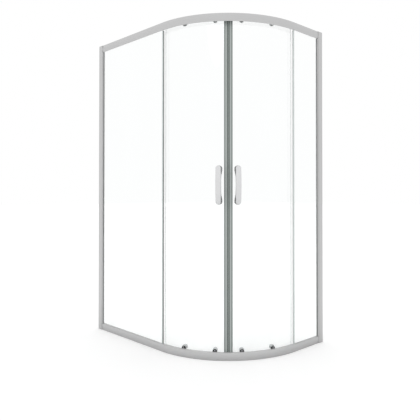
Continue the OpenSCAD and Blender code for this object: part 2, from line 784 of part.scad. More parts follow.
wall_channel(LONG);  // long_wall_channel
wall_channel(SHORT);  // short_wall_channel
jamb(LONG);  // long_jamb
jamb(SHORT);  // short_jamb
top_rail();
bottom_rail();
fixed_glass(LONG);  // long_fixed_glass
fixed_glass(SHORT);  // short_fixed_glass
jamb_gaskets();
rail_gaskets();
edge_seals();
groove_covers();
corner_blocks();
jamb_screws();
jamb_screw_caps();
door_stops();
setting_blocks();
channel_caps();
door_glass(LONG);  // long_door_glass
door_glass(SHORT);  // short_door_glass
closing_profile(LONG);  // long_closing_profile
closing_profile(SHORT);  // short_closing_profile
magnet(LONG);  // long_magnet
magnet(SHORT);  // short_magnet
rear_seal(LONG);  // long_rear_seal
rear_seal(SHORT);  // short_rear_seal
handle(LONG);  // long_handle
handle(SHORT);  // short_handle
handle_washers(LONG);  // long_handle_washers
handle_washers(SHORT);  // short_handle_washers
handle_caps(LONG);  // long_handle_caps
handle_caps(SHORT);  // short_handle_caps
door_screws(LONG);  // long_door_screws
door_screws(SHORT);  // short_door_screws
top_knobs(LONG);  // long_top_knobs
top_knobs(SHORT);  // short_top_knobs
roller_bushes(LONG);  // long_roller_bushes
roller_bushes(SHORT);  // short_roller_bushes
roller_axles(LONG);  // long_roller_axles
roller_axles(SHORT);  // short_roller_axles
roller_clamps(LONG);  // long_roller_clamps
roller_clamps(SHORT);  // short_roller_clamps
release_housings(LONG);  // long_release_housings
release_housings(SHORT);  // short_release_housings
wheel(LONG, FRONT, height - axle_h);  // long_front_top_wheel
wheel(LONG, REAR, height - axle_h);  // long_rear_top_wheel
wheel(SHORT, FRONT, height - axle_h);  // short_front_top_wheel
wheel(SHORT, REAR, height - axle_h);  // short_rear_top_wheel
wheel(LONG, FRONT, axle_h);  // long_front_low_wheel
wheel(LONG, REAR, axle_h);  // long_rear_low_wheel
wheel(SHORT, FRONT, axle_h);  // short_front_low_wheel
wheel(SHORT, REAR, axle_h);  // short_rear_low_wheel
release(LONG, FRONT);  // long_front_release
release(LONG, REAR);  // long_rear_release
release(SHORT, FRONT);  // short_front_release
release(SHORT, REAR);  // short_rear_release
release_spring(LONG, FRONT);  // long_front_spring
release_spring(LONG, REAR);  // long_rear_spring
release_spring(SHORT, FRONT);  // short_front_spring
release_spring(SHORT, REAR);  // short_rear_spring
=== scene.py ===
"""Corner shower enclosure: its surfaces and finishes, built round the packed frame.

Lengths are in metres. The bathroom corner is at -X, +Y. A depth n is measured inwards from the
outer face of the rails, phi is the angle round the arc from the end of a side's straight, u runs
from there along the straight to the wall, and t is sideways at an angle of the arc.
"""

import math
from functools import partial

import bmesh
import bpy
import numpy as np
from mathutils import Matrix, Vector


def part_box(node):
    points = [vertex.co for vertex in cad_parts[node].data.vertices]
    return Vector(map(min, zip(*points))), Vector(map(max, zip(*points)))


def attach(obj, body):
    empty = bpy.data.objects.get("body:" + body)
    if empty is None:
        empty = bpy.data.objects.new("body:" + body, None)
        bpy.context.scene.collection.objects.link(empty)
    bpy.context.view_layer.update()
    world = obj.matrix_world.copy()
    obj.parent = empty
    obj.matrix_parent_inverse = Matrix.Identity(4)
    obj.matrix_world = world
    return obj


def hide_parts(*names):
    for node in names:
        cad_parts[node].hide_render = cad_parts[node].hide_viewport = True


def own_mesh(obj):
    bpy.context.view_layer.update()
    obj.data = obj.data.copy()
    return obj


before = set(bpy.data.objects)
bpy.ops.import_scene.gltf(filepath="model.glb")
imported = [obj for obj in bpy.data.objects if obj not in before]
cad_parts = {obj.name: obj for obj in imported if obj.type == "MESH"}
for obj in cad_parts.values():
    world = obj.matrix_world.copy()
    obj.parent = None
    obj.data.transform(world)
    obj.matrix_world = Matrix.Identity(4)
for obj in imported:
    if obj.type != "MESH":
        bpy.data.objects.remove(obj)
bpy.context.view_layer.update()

bl_info = {
    "name": "Corner shower enclosure",
    "version": (1, 0, 0),
    "blender": (4, 5, 0),
    "location": "3D View > Sidebar > Shower",
    "description": "Builds the surfaces, finishes and studio of a corner shower enclosure",
    "category": "Object",
}

SIDES = ("long", "short")
PLACES = ("front", "rear")
PI = math.pi
LONG_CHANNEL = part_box("long_wall_channel")
SHORT_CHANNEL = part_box("short_wall_channel")
HEIGHT = LONG_CHANNEL[1].z
LONG_WALL, LONG_FACE = LONG_CHANNEL[0].x, LONG_CHANNEL[0].y
SHORT_WALL, SHORT_FACE = SHORT_CHANNEL[1].y, SHORT_CHANNEL[1].x
CHANNEL_DEPTH = LONG_CHANNEL[1].y - LONG_FACE
JAMB_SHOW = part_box("long_jamb")[1].x - LONG_CHANNEL[1].x
FIT = 0.00003  # gap between shells that touch
GAP = 0.0003  # gap between pieces that sit close together
SMALL = 0.0003  # setback of a small corner
CELLS = 8  # cells along the square block round a hole


# Sizes and colours that a user would change


def length(default, description):
    """A length property in metres."""
    return bpy.props.FloatProperty(
        description=description, default=default, min=0.0, precision=4, subtype="DISTANCE",
        unit="LENGTH",
    )


def angle(degrees, description):
    """An angle property, typed in degrees."""
    return bpy.props.FloatProperty(
        description=description, default=math.radians(degrees), precision=2, subtype="ANGLE",
        unit="ROTATION",
    )


def share(default, description):
    """A plain number from nought to one."""
    return bpy.props.FloatProperty(
        description=description, default=default, min=0.0, max=1.0, subtype="FACTOR"
    )


def colour(default, description):
    """A linear colour property."""
    return bpy.props.FloatVectorProperty(
        description=description, default=default, min=0.0, max=1.0, size=3, subtype="COLOR"
    )


class ShowerRailSizes(bpy.types.PropertyGroup):
    """Sizes of the rails and of the profiles on the walls."""

    corner: length(0.53, "Radius of the rails' outer face round the corner")
    bottom_h: length(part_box("bottom_rail")[1].z, "Height of the bottom rail")
    top_h: length(0.044, "Height of the top rail's outer skirt")
    bulge: length(0.0035, "How far the face of a rail bulges between its edges")
    web: length(0.0025, "Thickness of the webs in a rail")
    groove_n: length(0.005, "Depth at which the groove for the glass starts")
    groove_end: length(0.012, "Depth at which that groove ends")
    groove_floor: length(0.018, "Height of the groove's floor")
    body_d: length(0.0132, "Depth of the hollow body of a rail")
    base_d: length(0.027, "Depth of the bottom rail's base web")
    cover_d: length(0.037, "Depth of the top rail's cover web")
    lip_edge: length(0.021, "Depth of the inner edge of the wheel lips")
    lip_t: length(0.0016, "Thickness of the wheel lips")
    lip_level: length(0.03015, "Distance of the lips' rims from a rail's base plane")
    track_drop: length(0.007, "How far the top track sits inside the skirt's rim")
    rim_step: length(0.003, "How far the groove's inner wall stays inside that rim")
    end_cut: length(0.0006, "Length of the bevel at a rail's ends")
    end_in: length(0.0005, "How far that bevel draws the profile in")
    channel_w: length(0.04, "Width of a wall channel, away from the wall")
    channel_d: length(CHANNEL_DEPTH, "Depth of a wall channel")
    channel_t: length(0.0018, "Sheet thickness of a wall channel")
    fold: length(0.0028, "Setback of a channel's folds")
    sheet_soft: length(0.0005, "Width of the broken edges of its sheet")
    hole_r: length(0.003, "Radius of the screw holes in the wall channels")
    hole_step: length(0.55, "Distance between those holes")
    jamb_show: length(JAMB_SHOW, "How far a jamb stands out of its channel")
    jamb_in: length(0.024, "How far a jamb reaches into its channel")
    jamb_top: length(0.003, "Height that a jamb leaves free for the channel's cap")
    pocket: length(0.011, "Depth of a jamb's groove for the glass")
    bite: length(0.01, "How far a pane reaches into its jamb")
    joint: length(0.0016, "Width of the joint between the rails and a wall channel")
    snap_u: length(0.03, "Distance of the caps over the jamb screws from the wall")
    snap_step: length(0.7, "Distance between those caps, away from the rails")
    snap_r: length(0.006, "Radius of those caps")
    snap_t: length(0.0035, "Height of those caps")
    flange_t: length(0.0009, "Thickness of the gasket's flange")
    lip_show: length(0.0020, "Width of the gasket lip beside a jamb")
    lip_over: length(0.0028, "How far the gasket covers a jamb's nose")
    nose_back: length(0.006, "How far a jamb's inner nose stands back")


class ShowerGlassSizes(bpy.types.PropertyGroup):
    """Sizes of the panes and of the profiles on the doors' edges."""

    glass_t: length(0.005, "Thickness of the glass")
    fixed_n: length(0.006, "Depth of the outer face of a fixed pane")
    fixed_u: length(0.001, "Distance of a fixed pane's free edge from the end of the arc")
    door_n: length(0.0305, "Depth of the outer face of a door")
    glass_back: length(0.0125, "From the meeting line to the glass")
    rear_u: length(0.0034, "How far a door reaches past the end of the arc")
    edge_soft: length(0.0006, "Width of the ground edges of the glass")
    roller_hole: length(0.006, "Radius of the glass holes for the rollers")
    handle_hole: length(0.004, "Radius of the glass holes for the handles")
    closing_w: length(0.023, "Width of the closing profile")
    pocket_w: length(0.009, "Width of the magnet pocket of that profile")
    pocket_d: length(0.002, "How far the pocket stands proud of the arms")
    seal_t: length(0.001, "Wall of the seal profiles")
    meeting_gap: length(0.0004, "Gap between the two doors")
    seal_end: length(0.003, "How far a pane's edge seal reaches past the straight")
    seal_grip: length(0.004, "How far that seal's arms reach over the pane")
    grey_back: length(0.0015, "From that seal's grey edge to the end of the glass groove")
    fin_root: length(0.0035, "From there to the end of the grey root of its fin")
    fin_short: length(0.0041, "Gap between a pane's fin and the door's glass")
    clip_l: length(0.009, "How far the arms of a door's rear seal reach")
    fin_t: length(0.0014, "Thickness of the fins between a door and its fixed pane")
    fin_gap: length(0.0006, "Gap between the two fins of a side")
    fin_clear: length(0.06, "Height above and below a pane's fin")


class ShowerFittingSizes(bpy.types.PropertyGroup):
    """Sizes of the handles, rollers and releases."""

    handle_phi: angle(39.2, "Angle of the handles round the arc")
    front_phi: angle(36.7, "Angle of the front rollers round the arc")
    rear_phi: angle(16.0, "Angle of the rear rollers round the arc")
    handle_z: length(0.931, "Height of the middle of the handles")
    handle_l: length(0.211, "Length of a handle")
    handle_w: length(0.03, "Width of a handle")
    handle_screws: length(0.183, "Distance between the screws of a handle")
    handle_reach: length(0.044, "How far the middle of a handle stands out")
    handle_end: length(0.023, "How far the ends of a handle stand out")
    finger_gap: length(0.033, "Depth of the gap behind a handle")
    foot_flare: length(0.0035, "How far a handle's feet widen towards the glass")
    handle_soft: length(0.0036, "Radius of the edges of a handle")
    cap_r: length(0.009, "Radius of the caps over the handle screws")
    cap_t: length(0.0055, "Height of those caps")
    washer_t: length(0.0011, "Thickness of the washers under a handle")
    knob_r: length(0.013, "Radius of the knobs inside")
    knob_t: length(0.008, "Height of the knobs inside")
    axle_h: length(0.02, "Distance of the wheels' axles from a rail's base plane")
    hanger_drop: length(0.0085, "From the axle down to the fixing of a top roller")
    clamp_rise: length(0.027, "From the lower axle up to the fixing of a bottom roller")
    wheel_r: length(0.011, "Radius of a wheel")
    tread_r: length(0.0098, "Radius of a wheel's tread")
    wheel_w: length(0.008, "Width of a wheel")
    tread_w: length(0.0066, "Width of the groove round a wheel")
    wheel_n: length(0.0202, "Depth of the middle of a wheel")
    axle_r: length(0.003, "Radius of the axles")
    stem_n: length(0.0445, "Depth of the release stem")
    stem_r: length(0.0024, "Radius of the release stem")
    pad_w: length(0.008, "Width of the thumb pad")
    pad_h: length(0.009, "Height of the thumb pad")
    release_t: length(0.0145, "Thickness of the release housings")
    body_soft: length(0.0008, "Rounding of roller bodies, clamps and release housings")
    pad_rise: length(0.009, "From the fixing of a bottom roller up to the thumb pad's top")
    press: length(0.005, "Travel of a release")
    wire: length(0.0009, "Thickness of the spring wire")
    turns: bpy.props.IntProperty(description="Turns of a spring", default=5, min=2)


class ShowerColours(bpy.types.PropertyGroup):
    """Colours of the finishes, as linear values."""

    aluminium: colour((0.545, 0.545, 0.547), "Satin anodised rails and channels")
    glass: colour((0.988, 0.998, 0.996), "Tint of the glass")
    glass_rim: colour((0.87, 0.95, 0.93), "Ground edge of the glass")
    seal: colour((0.86, 0.90, 0.89), "Clear seals and fins")
    seal_edge: colour((0.255, 0.270, 0.265), "Grey edge of the long pane's seal")
    # The short pane's seal edge is the long one's grey painted lighter, standing in for the light
    # on that side; the handle washers take it too.
    seal_edge_pale: colour((0.620, 0.640, 0.635), "Edge of the short pane's seal")
    # The jambs' colour is the rails' aluminium painted lighter, to make up for the shade on their
    # set-back face.
    jamb: colour((0.640, 0.640, 0.642), "Jambs, which show beside the gaskets")
    strip_dark: colour((0.125, 0.147, 0.138), "Strip over the magnet")
    strip_light: colour((0.420, 0.455, 0.444), "Strip between magnet and arm")
    strip_mid: colour((0.212, 0.240, 0.230), "Arm of the strip over the glass")
    rubber: colour((0.170, 0.175, 0.175), "Gaskets and stops")
    handle: colour((0.690, 0.693, 0.700), "Satin silver handles")
    nylon_black: colour((0.013, 0.013, 0.014), "Clamps and releases")
    nylon_white: colour((0.80, 0.80, 0.78), "Wheels and top rollers")
    knob: colour((0.60, 0.61, 0.615), "Knobs and caps inside")
    steel: colour((0.45, 0.46, 0.47), "Screws, axles and springs")


class ShowerStudio(bpy.types.PropertyGroup):
    """Light and camera of the studio."""

    around: share(0.88, "Level of the light all round")
    key: share(0.20, "Level of the soft lamp on a face square to it")
    floor_white: share(0.98, "Tone of the floor as the camera sees it")
    floor_glow: share(0.10, "Light of its own in that tone")
    floor_near: share(0.04, "How much light the floor beside the object sends back")
    floor_far: share(0.85, "How much light the floor further away sends back")
    floor_reach: length(0.12, "Width of the near floor, outside the rails")
    eye: bpy.props.FloatVectorProperty(
        description="Place of the camera", default=(2.3117, -2.1290, 0.896), subtype="XYZ",
        unit="LENGTH",
    )
    pitch: angle(0.674, "How far the camera looks up")
    lens: bpy.props.FloatProperty(
        description="Focal length in millimetres on a 36 mm sensor", default=42.87
    )
    shift: bpy.props.FloatVectorProperty(
        description="Shift of the lens", default=(-0.0310, -0.0578), size=2
    )


# Places in the frame


def sizes():
    """Sizes of the rails, of the glass and of the fittings."""
    scene = bpy.context.scene
    return scene.shower_rails, scene.shower_glass, scene.shower_fittings


def arc_centre():
    """Centre of the arc in plan: a corner radius inside both outer faces."""
    corner = bpy.context.scene.shower_rails.corner
    return SHORT_FACE - corner, LONG_FACE + corner


def run(side):
    """Length of a side's straight, from the end of the arc to the wall."""
    cx, cy = arc_centre()
    return cx - LONG_WALL if side == "long" else SHORT_WALL - cy


def stand(side, phi, n, t, z):
    """Points at angle phi round the arc, depth n, sideways t and height z.

    From the centre of the arc the point is (corner radius - n) along the radius at phi and t along
    the tangent. The short side is the long one with x and y exchanged and turned round.
    """
    cx, cy = arc_centre()
    radius = bpy.context.scene.shower_rails.corner - n
    x = radius * np.sin(phi) + t * np.cos(phi)
    y = t * np.sin(phi) - radius * np.cos(phi)
    if side == "short":
        x, y = -y, -x
    return np.stack(np.broadcast_arrays(cx + x, cy + y, z), -1)


def straight(side, u, n, z):
    """Points on a side's straight at distance u towards the wall, depth n and height z."""
    return stand(side, 0.0, n, -np.asarray(u, float), z)


def round_corner(s, n, z):
    """Points that follow the whole outer face: s runs along it from the end of the long straight.

    Before the arc x falls with s, on the arc the angle is s over the corner radius, and after it y
    grows with what is left of s.
    """
    cx, cy = arc_centre()
    corner = bpy.context.scene.shower_rails.corner
    phi = np.clip(s / corner, 0.0, PI / 2)
    x = cx + (corner - n) * np.sin(phi) + np.minimum(s, 0.0)
    y = cy - (corner - n) * np.cos(phi) + np.maximum(s - corner * PI / 2, 0.0)
    return np.stack(np.broadcast_arrays(x, y, z), -1)


# Surfaces


def soft_outline(corners, steps=4, closed=True):
    """Outline through corners (a, b, setback), each cut back by its setback and joined by a curve.

    A corner P with cut points A and B gives (1-w)^2 A + 2 w (1-w) P + w^2 B for w from 0 to 1.
    """
    corners = np.array(corners, float)
    p, cut = corners[:, :2], corners[:, 2:]
    before, after = np.roll(p, 1, 0) - p, np.roll(p, -1, 0) - p
    a = p + before / np.maximum(np.linalg.norm(before, axis=1, keepdims=True), 1e-9) * cut
    b = p + after / np.maximum(np.linalg.norm(after, axis=1, keepdims=True), 1e-9) * cut
    w = np.linspace(0.0, 1.0, steps + 1)[None, :, None]
    curve = (1 - w) ** 2 * a[:, None] + 2 * w * (1 - w) * p[:, None] + w**2 * b[:, None]
    if not closed:
        curve[0], curve[-1] = p[0], p[-1]
    line = curve.reshape(-1, 2)
    step = np.linalg.norm(line - np.roll(line, 1, 0), axis=1)
    keep = step > 1e-7
    keep[0] = True
    return line[keep]


def along(line, closed=True):
    """Distance along a line at each of its points, with the closing length last if it is closed."""
    whole = np.concatenate([line, line[:1]]) if closed else line
    return np.concatenate([[0.0], np.cumsum(np.linalg.norm(np.diff(whole, axis=0), axis=1))])


def grid(points, wrap_u=False, wrap_v=True, u=None, v=None):
    """Faces of a grid of points (u, v, 3), as vertices, quads with their map, and end caps.

    Cell (i, j) joins points (i, j), (i+1, j), (i+1, j+1) and (i, j+1), and a wrapped way goes back
    to its start. The map takes u and v as they are. The faces are turned to face outwards: the sum
    of (v0 x v1) . v2 over the triangles is six times the volume, and must not be negative.
    """
    nu, nv = points.shape[:2]
    i, j = np.meshgrid(np.arange(nu - (not wrap_u)), np.arange(nv - (not wrap_v)), indexing="ij")
    i2, j2 = i + 1, j + 1
    ring_i = np.stack([i, i2, i2, i], -1).reshape(-1, 4)
    ring_j = np.stack([j, j, j2, j2], -1).reshape(-1, 4)
    quads = (ring_i % nu) * nv + ring_j % nv
    u = np.arange(nu + 1, dtype=float) if u is None else np.append(u, u[-1])
    v = np.arange(nv + 1, dtype=float) if v is None else np.append(v, v[-1])
    uv = np.stack([u[ring_i], v[ring_j]], -1)
    ends = []
    if not wrap_u:
        ends = [np.arange(nv)[::-1], (nu - 1) * nv + np.arange(nv)]
    flat = points.reshape(-1, 3)
    tris = [quads[:, [0, 1, 2]], quads[:, [0, 2, 3]]]
    tris += [np.stack([np.full(nv - 2, e[0]), e[1:-1], e[2:]], -1) for e in ends]
    a, b, c = (flat[np.concatenate(tris)[:, k]] - flat[0] for k in range(3))
    if np.einsum("ij,ij->i", np.cross(a, b), c).sum() < 0:
        quads, uv, ends = quads[:, ::-1], uv[:, ::-1], [e[::-1] for e in ends]
    return flat, quads, uv, ends


def turned(side, phi, z, corners, segments=48, flutes=0, flute_depth=0.0, t=0.0):
    """Solid turned about a line in depth, from an outline of (distance from that axis, depth).

    The axis is t sideways. The point at turn a and outline (r, n) is r cos a sideways of the axis,
    r sin a above it and n deep. Flutes take flute_depth (1 + cos(flutes a)) / 2 off a radius that
    is far from the axis.
    """
    outline = soft_outline(corners)
    a = np.linspace(0.0, 2 * PI, segments, endpoint=False)[:, None]
    r, n = outline.T
    if flutes:
        r = r - flute_depth * (1 + np.cos(flutes * a)) / 2 * (r > 0.9 * r.max())
    points = stand(side, phi, n, t + r * np.cos(a), z + r * np.sin(a))
    return grid(points, wrap_u=True, u=np.append(a[:, 0], 2 * PI) * 0.01, v=along(outline))


def upright(place, corners, z0, z1, soft=0.0003):
    """Solid that stands up from a plan outline, with its rims drawn in along a small bevel.

    place(a, b, z) puts an outline point (a, b) at height z. In the first and last rings each point
    is moved inwards by the bevel's width, square to the chord between its neighbours.
    """
    outline = soft_outline(corners)
    chord = np.roll(outline, -1, 0) - np.roll(outline, 1, 0)
    chord /= np.maximum(np.linalg.norm(chord, axis=1, keepdims=True), 1e-9)
    a, b = outline.T
    turn = np.sign(np.sum(a * np.roll(b, -1) - b * np.roll(a, -1)))
    inwards = turn * np.stack([-chord[:, 1], chord[:, 0]], -1)
    z = np.array([z0, z0 + soft, z1 - soft, z1])[:, None]
    pull = np.array([soft, 0.0, 0.0, soft])[:, None]
    return grid(
        place(a + pull * inwards[:, 0], b + pull * inwards[:, 1], z),
        u=z[:, 0], v=along(outline),
    )


def soft_block(side, phi, low, high, soft, steps=3):
    """Box in depth, sideways and height, with every edge rounded to the radius soft.

    Its sections across the depth are rounded rectangles. Near both ends their corner radius is soft
    times the sine of an angle that runs from nought to a right angle while the depth moves by soft
    times one minus the cosine.
    """
    low, high = np.array(low, float), np.array(high, float)
    beta = np.linspace(0.0, PI / 2, steps + 1)
    ease = soft * (1 - np.cos(beta))
    n = np.concatenate([low[0] + ease, high[0] - ease[::-1]])
    radius = soft * np.concatenate([np.sin(beta), np.sin(beta)[::-1]])
    turn = (np.arange(4)[:, None] * PI / 2 + np.linspace(0, PI / 2, steps + 1)[None, :]).ravel()
    sign_t = np.repeat([1, -1, -1, 1], steps + 1)
    sign_z = np.repeat([1, 1, -1, -1], steps + 1)
    middle, half = (low + high) / 2, (high - low) / 2 - soft
    t = middle[1] + sign_t * half[1] + radius[:, None] * np.cos(turn)
    z = middle[2] + sign_z * half[2] + radius[:, None] * np.sin(turn)
    return grid(stand(side, phi, n[:, None], t, z))


def block_lines(base, centres, half):
    """Grid lines: the base ones outside the blocks round the centres, and equal cells inside."""
    inside = [c + np.linspace(-half, half, CELLS + 1) for c in sorted(set(centres))]
    far = np.ones(len(base), bool)
    for block in inside:
        far &= (base < block[0] - 1e-4) | (base > block[-1] + 1e-4)
    return np.sort(np.concatenate([base[far], *inside]))


def punched(lines_a, lines_b, holes, half):
    """Flat sheet on a grid of lines with round holes (a, b, radius), as points and quads.

    The cells in the square round a hole are left out. Each point of the square's edge is joined to
    the point of the circle that lies in the same direction from the hole's centre.
    """
    a, b = np.meshgrid(lines_a, lines_b, indexing="ij")
    points = np.stack([a, b], -1).reshape(-1, 2)
    index = np.arange(a.size).reshape(a.shape)
    cell = np.stack([index[:-1, :-1], index[1:, :-1], index[1:, 1:], index[:-1, 1:]], -1)
    keep = np.ones(cell.shape[:2], bool)
    rims = []
    for a0, b0, radius in holes:
        i = int(np.abs(lines_a - (a0 - half)).argmin())
        j = int(np.abs(lines_b - (b0 - half)).argmin())
        i2, j2 = i + CELLS, j + CELLS
        keep[i:i2, j:j2] = False
        rim = np.concatenate([
            index[i:i2, j], index[i2, j:j2], index[i2:i:-1, j2], index[i, j2:j:-1]
        ])
        aim = np.arctan2(points[rim, 1] - b0, points[rim, 0] - a0)
        circle = np.arange(len(rim)) + len(points)
        points = np.concatenate([
            points, np.stack([a0 + radius * np.cos(aim), b0 + radius * np.sin(aim)], -1)
        ])
        rims.append(np.stack([rim, np.roll(rim, -1), np.roll(circle, -1), circle], -1))
    quads = np.concatenate([cell[keep], *rims])
    used, quads = np.unique(quads, return_inverse=True)
    return points[used], quads.reshape(-1, 4)


# Pieces


def settled(name, mesh, form, finishes, body, nodes, smooth=35.0):
    """Makes an object of a cleaned form, smooth up to an angle, and lets it ride on a body.

    It stands for the CAD nodes, which it hides.
    """
    form.to_mesh(mesh)
    form.free()
    mesh.shade_smooth()
    mesh.set_sharp_from_angle(angle=math.radians(smooth))
    for finish in finishes:
        mesh.materials.append(finish_for(finish))
    made = bpy.data.objects.new(name, mesh)
    bpy.context.scene.collection.objects.link(made)
    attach(made, body)
    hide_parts(*nodes)
    return made


def piece(name, shells, finishes, body, nodes, inside=None, smooth=35.0, slots=None):
    """Makes one object of several shells, which rides on a body.

    Points that fall together are merged. An open sheet is turned so that its faces look away from
    the point inside. Slots give the number of each shell's finish.
    """
    vertices, faces, maps, numbers, start = [], [], [], [], 0
    for shell, slot in zip(shells, slots or [0] * len(shells)):
        flat, quads, uv, ends = shell
        vertices.append(flat)
        faces += (quads + start).tolist() + [(e + start).tolist() for e in ends]
        maps += [uv.reshape(-1, 2)] + [np.zeros((len(e), 2)) for e in ends]
        numbers += [slot] * (len(quads) + len(ends))
        start += len(flat)
    mesh = bpy.data.meshes.new(name)
    mesh.from_pydata(np.concatenate(vertices), [], faces)
    mesh.polygons.foreach_set("material_index", numbers)
    mesh.uv_layers.new(name="run").data.foreach_set(
        "uv", np.concatenate(maps).astype(np.float32).ravel()
    )
    form = bmesh.new()
    form.from_mesh(mesh)
    bmesh.ops.remove_doubles(form, verts=form.verts, dist=2e-7)
    if inside is not None:
        form.normal_update()
        aim = sum(f.normal.dot(f.calc_center_median() - Vector(inside)) for f in form.faces)
        if aim < 0:
            bmesh.ops.reverse_faces(form, faces=form.faces)
    return settled(name, mesh, form, finishes, body, nodes, smooth)


def bevelled(made, width, degrees):
    """Rounds the edges of a piece that turn by more than an angle."""
    edge = made.modifiers.new("edge", "BEVEL")
    edge.width = width
    edge.segments = 2
    edge.limit_method = "ANGLE"
    edge.angle_limit = math.radians(degrees)
    edge.harden_normals = True


def walled(made, thickness, soft, rim_slot=0):
    """Gives an open sheet its thickness, away from its normals, and ground or broken edges."""
    wall = made.modifiers.new("wall", "SOLIDIFY")
    wall.thickness = thickness
    wall.offset = -1.0
    wall.use_even_offset = True
    wall.material_offset_rim = rim_slot
    bevelled(made, soft, 60.0)


def softened(name, node, finish, body, soft):
    """Shows a CAD node as a merged copy, with its sharp edges rounded by a live bevel."""
    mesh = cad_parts[node].data.copy()
    mesh.name = name
    mesh.materials.clear()
    form = bmesh.new()
    form.from_mesh(mesh)
    bmesh.ops.remove_doubles(form, verts=form.verts, dist=1e-6)
    bmesh.ops.dissolve_limit(
        form, angle_limit=math.radians(0.5), verts=form.verts, edges=form.edges
    )
    bevelled(settled(name, mesh, form, [finish], body, [node]), soft, 40.0)


# Finishes


class Number:
    """A number in a node tree. Python's operators on it add Math nodes."""

    def __init__(self, finish, socket):
        self.finish, self.socket = finish, socket

    def maths(self, operation, *values):
        """The number that a Math node gives for those values."""
        made = self.finish.node("Math", {"operation": operation}, dict(enumerate(values)))
        return Number(self.finish, made.outputs[0])

    def __add__(self, other):
        return self.maths("ADD", self, other)

    def __radd__(self, other):
        return self.maths("ADD", other, self)

    def __sub__(self, other):
        return self.maths("SUBTRACT", self, other)

    def __rsub__(self, other):
        return self.maths("SUBTRACT", other, self)

    def __mul__(self, other):
        return self.maths("MULTIPLY", self, other)

    def __rmul__(self, other):
        return self.maths("MULTIPLY", other, self)


class Finish:
    """A material whose nodes come from Python expressions and one method."""

    def __init__(self, name, tree=None):
        self.material = None
        if tree is None:
            self.material = bpy.data.materials.new(name)
            self.material.use_nodes = True
            tree = self.material.node_tree
        self.tree = tree
        self.tree.nodes.clear()

    def node(self, kind, settings=None, sockets=None):
        """Adds a node, sets its own settings first and then fills or links its sockets."""
        made = self.tree.nodes.new("ShaderNode" + kind)
        for key, value in (settings or {}).items():
            if key == "stops":
                marks = made.color_ramp.elements
                marks.remove(marks[1])
                for number, (position, tone) in enumerate(value):
                    mark = marks.new(position) if number else marks[0]
                    mark.position, mark.color = position, (*tone, 1.0)
            else:
                setattr(made, key, value)
        for key, value in (sockets or {}).items():
            if isinstance(value, Number):
                value = value.socket
            if isinstance(value, bpy.types.NodeSocket):
                self.tree.links.new(value, made.inputs[key])
            else:
                made.inputs[key].default_value = value
        return made

    def place(self):
        """The piece's own coordinates."""
        return self.node("TexCoord").outputs["Object"]

    def run_map(self):
        """The map of a drawn profile: along it and across it, in metres."""
        return self.node("UVMap", {"uv_map": "run"}).outputs["UV"]

    def noise(self, where, stretch, detail=2.0, roughness=0.5):
        """Noise from nought to one, with so many waves to the metre along each axis."""
        scaled = self.node(
            "VectorMath", {"operation": "MULTIPLY"}, {0: where, 1: stretch}
        ).outputs[0]
        made = self.node(
            "TexNoise", {"noise_dimensions": "3D"},
            {"Vector": scaled, "Scale": 1.0, "Detail": detail, "Roughness": roughness},
        )
        return Number(self, made.outputs[0])

    def mix(self, factor, a, b):
        """Colour between a and b."""
        return self.node(
            "Mix", {"data_type": "RGBA"}, {0: factor, 6: rgba(a), 7: rgba(b)}
        ).outputs[2]

    def bump(self, height, depth, strength=0.5):
        """Normal of a relief of that depth in metres."""
        return self.node(
            "Bump", {}, {"Strength": strength, "Distance": depth, "Height": height}
        ).outputs[0]

    def seen(self):
        """One for rays from the camera, off gloss or through glass, and nought for soft light."""
        path = self.node("LightPath").outputs
        ray = Number(self, path["Is Camera Ray"])
        for kind in ("Is Glossy Ray", "Is Transmission Ray"):
            ray = ray.maths("MAXIMUM", ray, path[kind])
        return ray

    def surface(self, sockets):
        """Principled shader with those sockets, led to the output."""
        shader = self.node("BsdfPrincipled", {}, sockets)
        self.show(shader)
        return self.material

    def show(self, shader, kind="OutputMaterial"):
        """Leads a shader to the output."""
        self.node(kind, {}, {0: shader.outputs[0]})


def rgba(value):
    """A colour with its alpha, or a socket as it is."""
    return value if isinstance(value, bpy.types.NodeSocket) else (*tuple(value)[:3], 1.0)


def shade(value, factor):
    """A colour made lighter or darker by a factor."""
    return tuple(min(1.0, c * factor) for c in value)


def aluminium(name, tint, drawn=True):
    """Satin anodised aluminium: fine draw lines along the profile and faint clouds in the sheen."""
    f = Finish(name)
    if drawn:
        lines = f.noise(f.run_map(), (1.2, 1500.0, 1.0), 3.0, 0.6)
    else:
        lines = f.noise(f.place(), (30.0, 30.0, 900.0), 3.0, 0.6)
    clouds = f.noise(f.place(), (2.6, 2.6, 2.6), 3.0)
    tone = 0.5 + 0.7 * (clouds - 0.5) + 0.55 * (lines - 0.5)
    return f.surface({
        "Base Color": f.mix(tone, shade(tint, 0.955), shade(tint, 1.045)),
        "Metallic": 0.45,
        "Roughness": 0.37 + 0.16 * (lines - 0.5) + 0.08 * (clouds - 0.5),
        "Normal": f.bump(lines, 0.00006, 0.35),
    })


def satin_silver(name, tint):
    """Handle finish: matt silver lacquer with a fine grain and a painted shade on its deep side
    faces.
    """
    f = Finish(name)
    # The attribute side holds a painted shade: the side faces are mixed towards a dark grey that
    # stands in for the shade they fall in.
    painted_side_shade = Number(f, f.node("Attribute", {"attribute_name": "side"}).outputs["Fac"])
    grain = f.noise(f.place(), (2400.0, 2400.0, 2400.0), 2.0)
    clouds = f.noise(f.place(), (22.0, 22.0, 9.0), 2.0)
    tone = 0.5 + 0.5 * (grain - 0.5) + 0.6 * (clouds - 0.5)
    face = f.mix(tone, shade(tint, 0.965), shade(tint, 1.03))
    return f.surface({
        "Base Color": f.mix(painted_side_shade, face, shade(tint, 0.27)),
        "Metallic": 0.25,
        "Roughness": 0.34 + 0.10 * (grain - 0.5) + 0.06 * (clouds - 0.5),
        "Normal": f.bump(grain, 0.00002, 0.4),
        "Coat Weight": 0.15,
        "Coat Roughness": 0.2,
    })


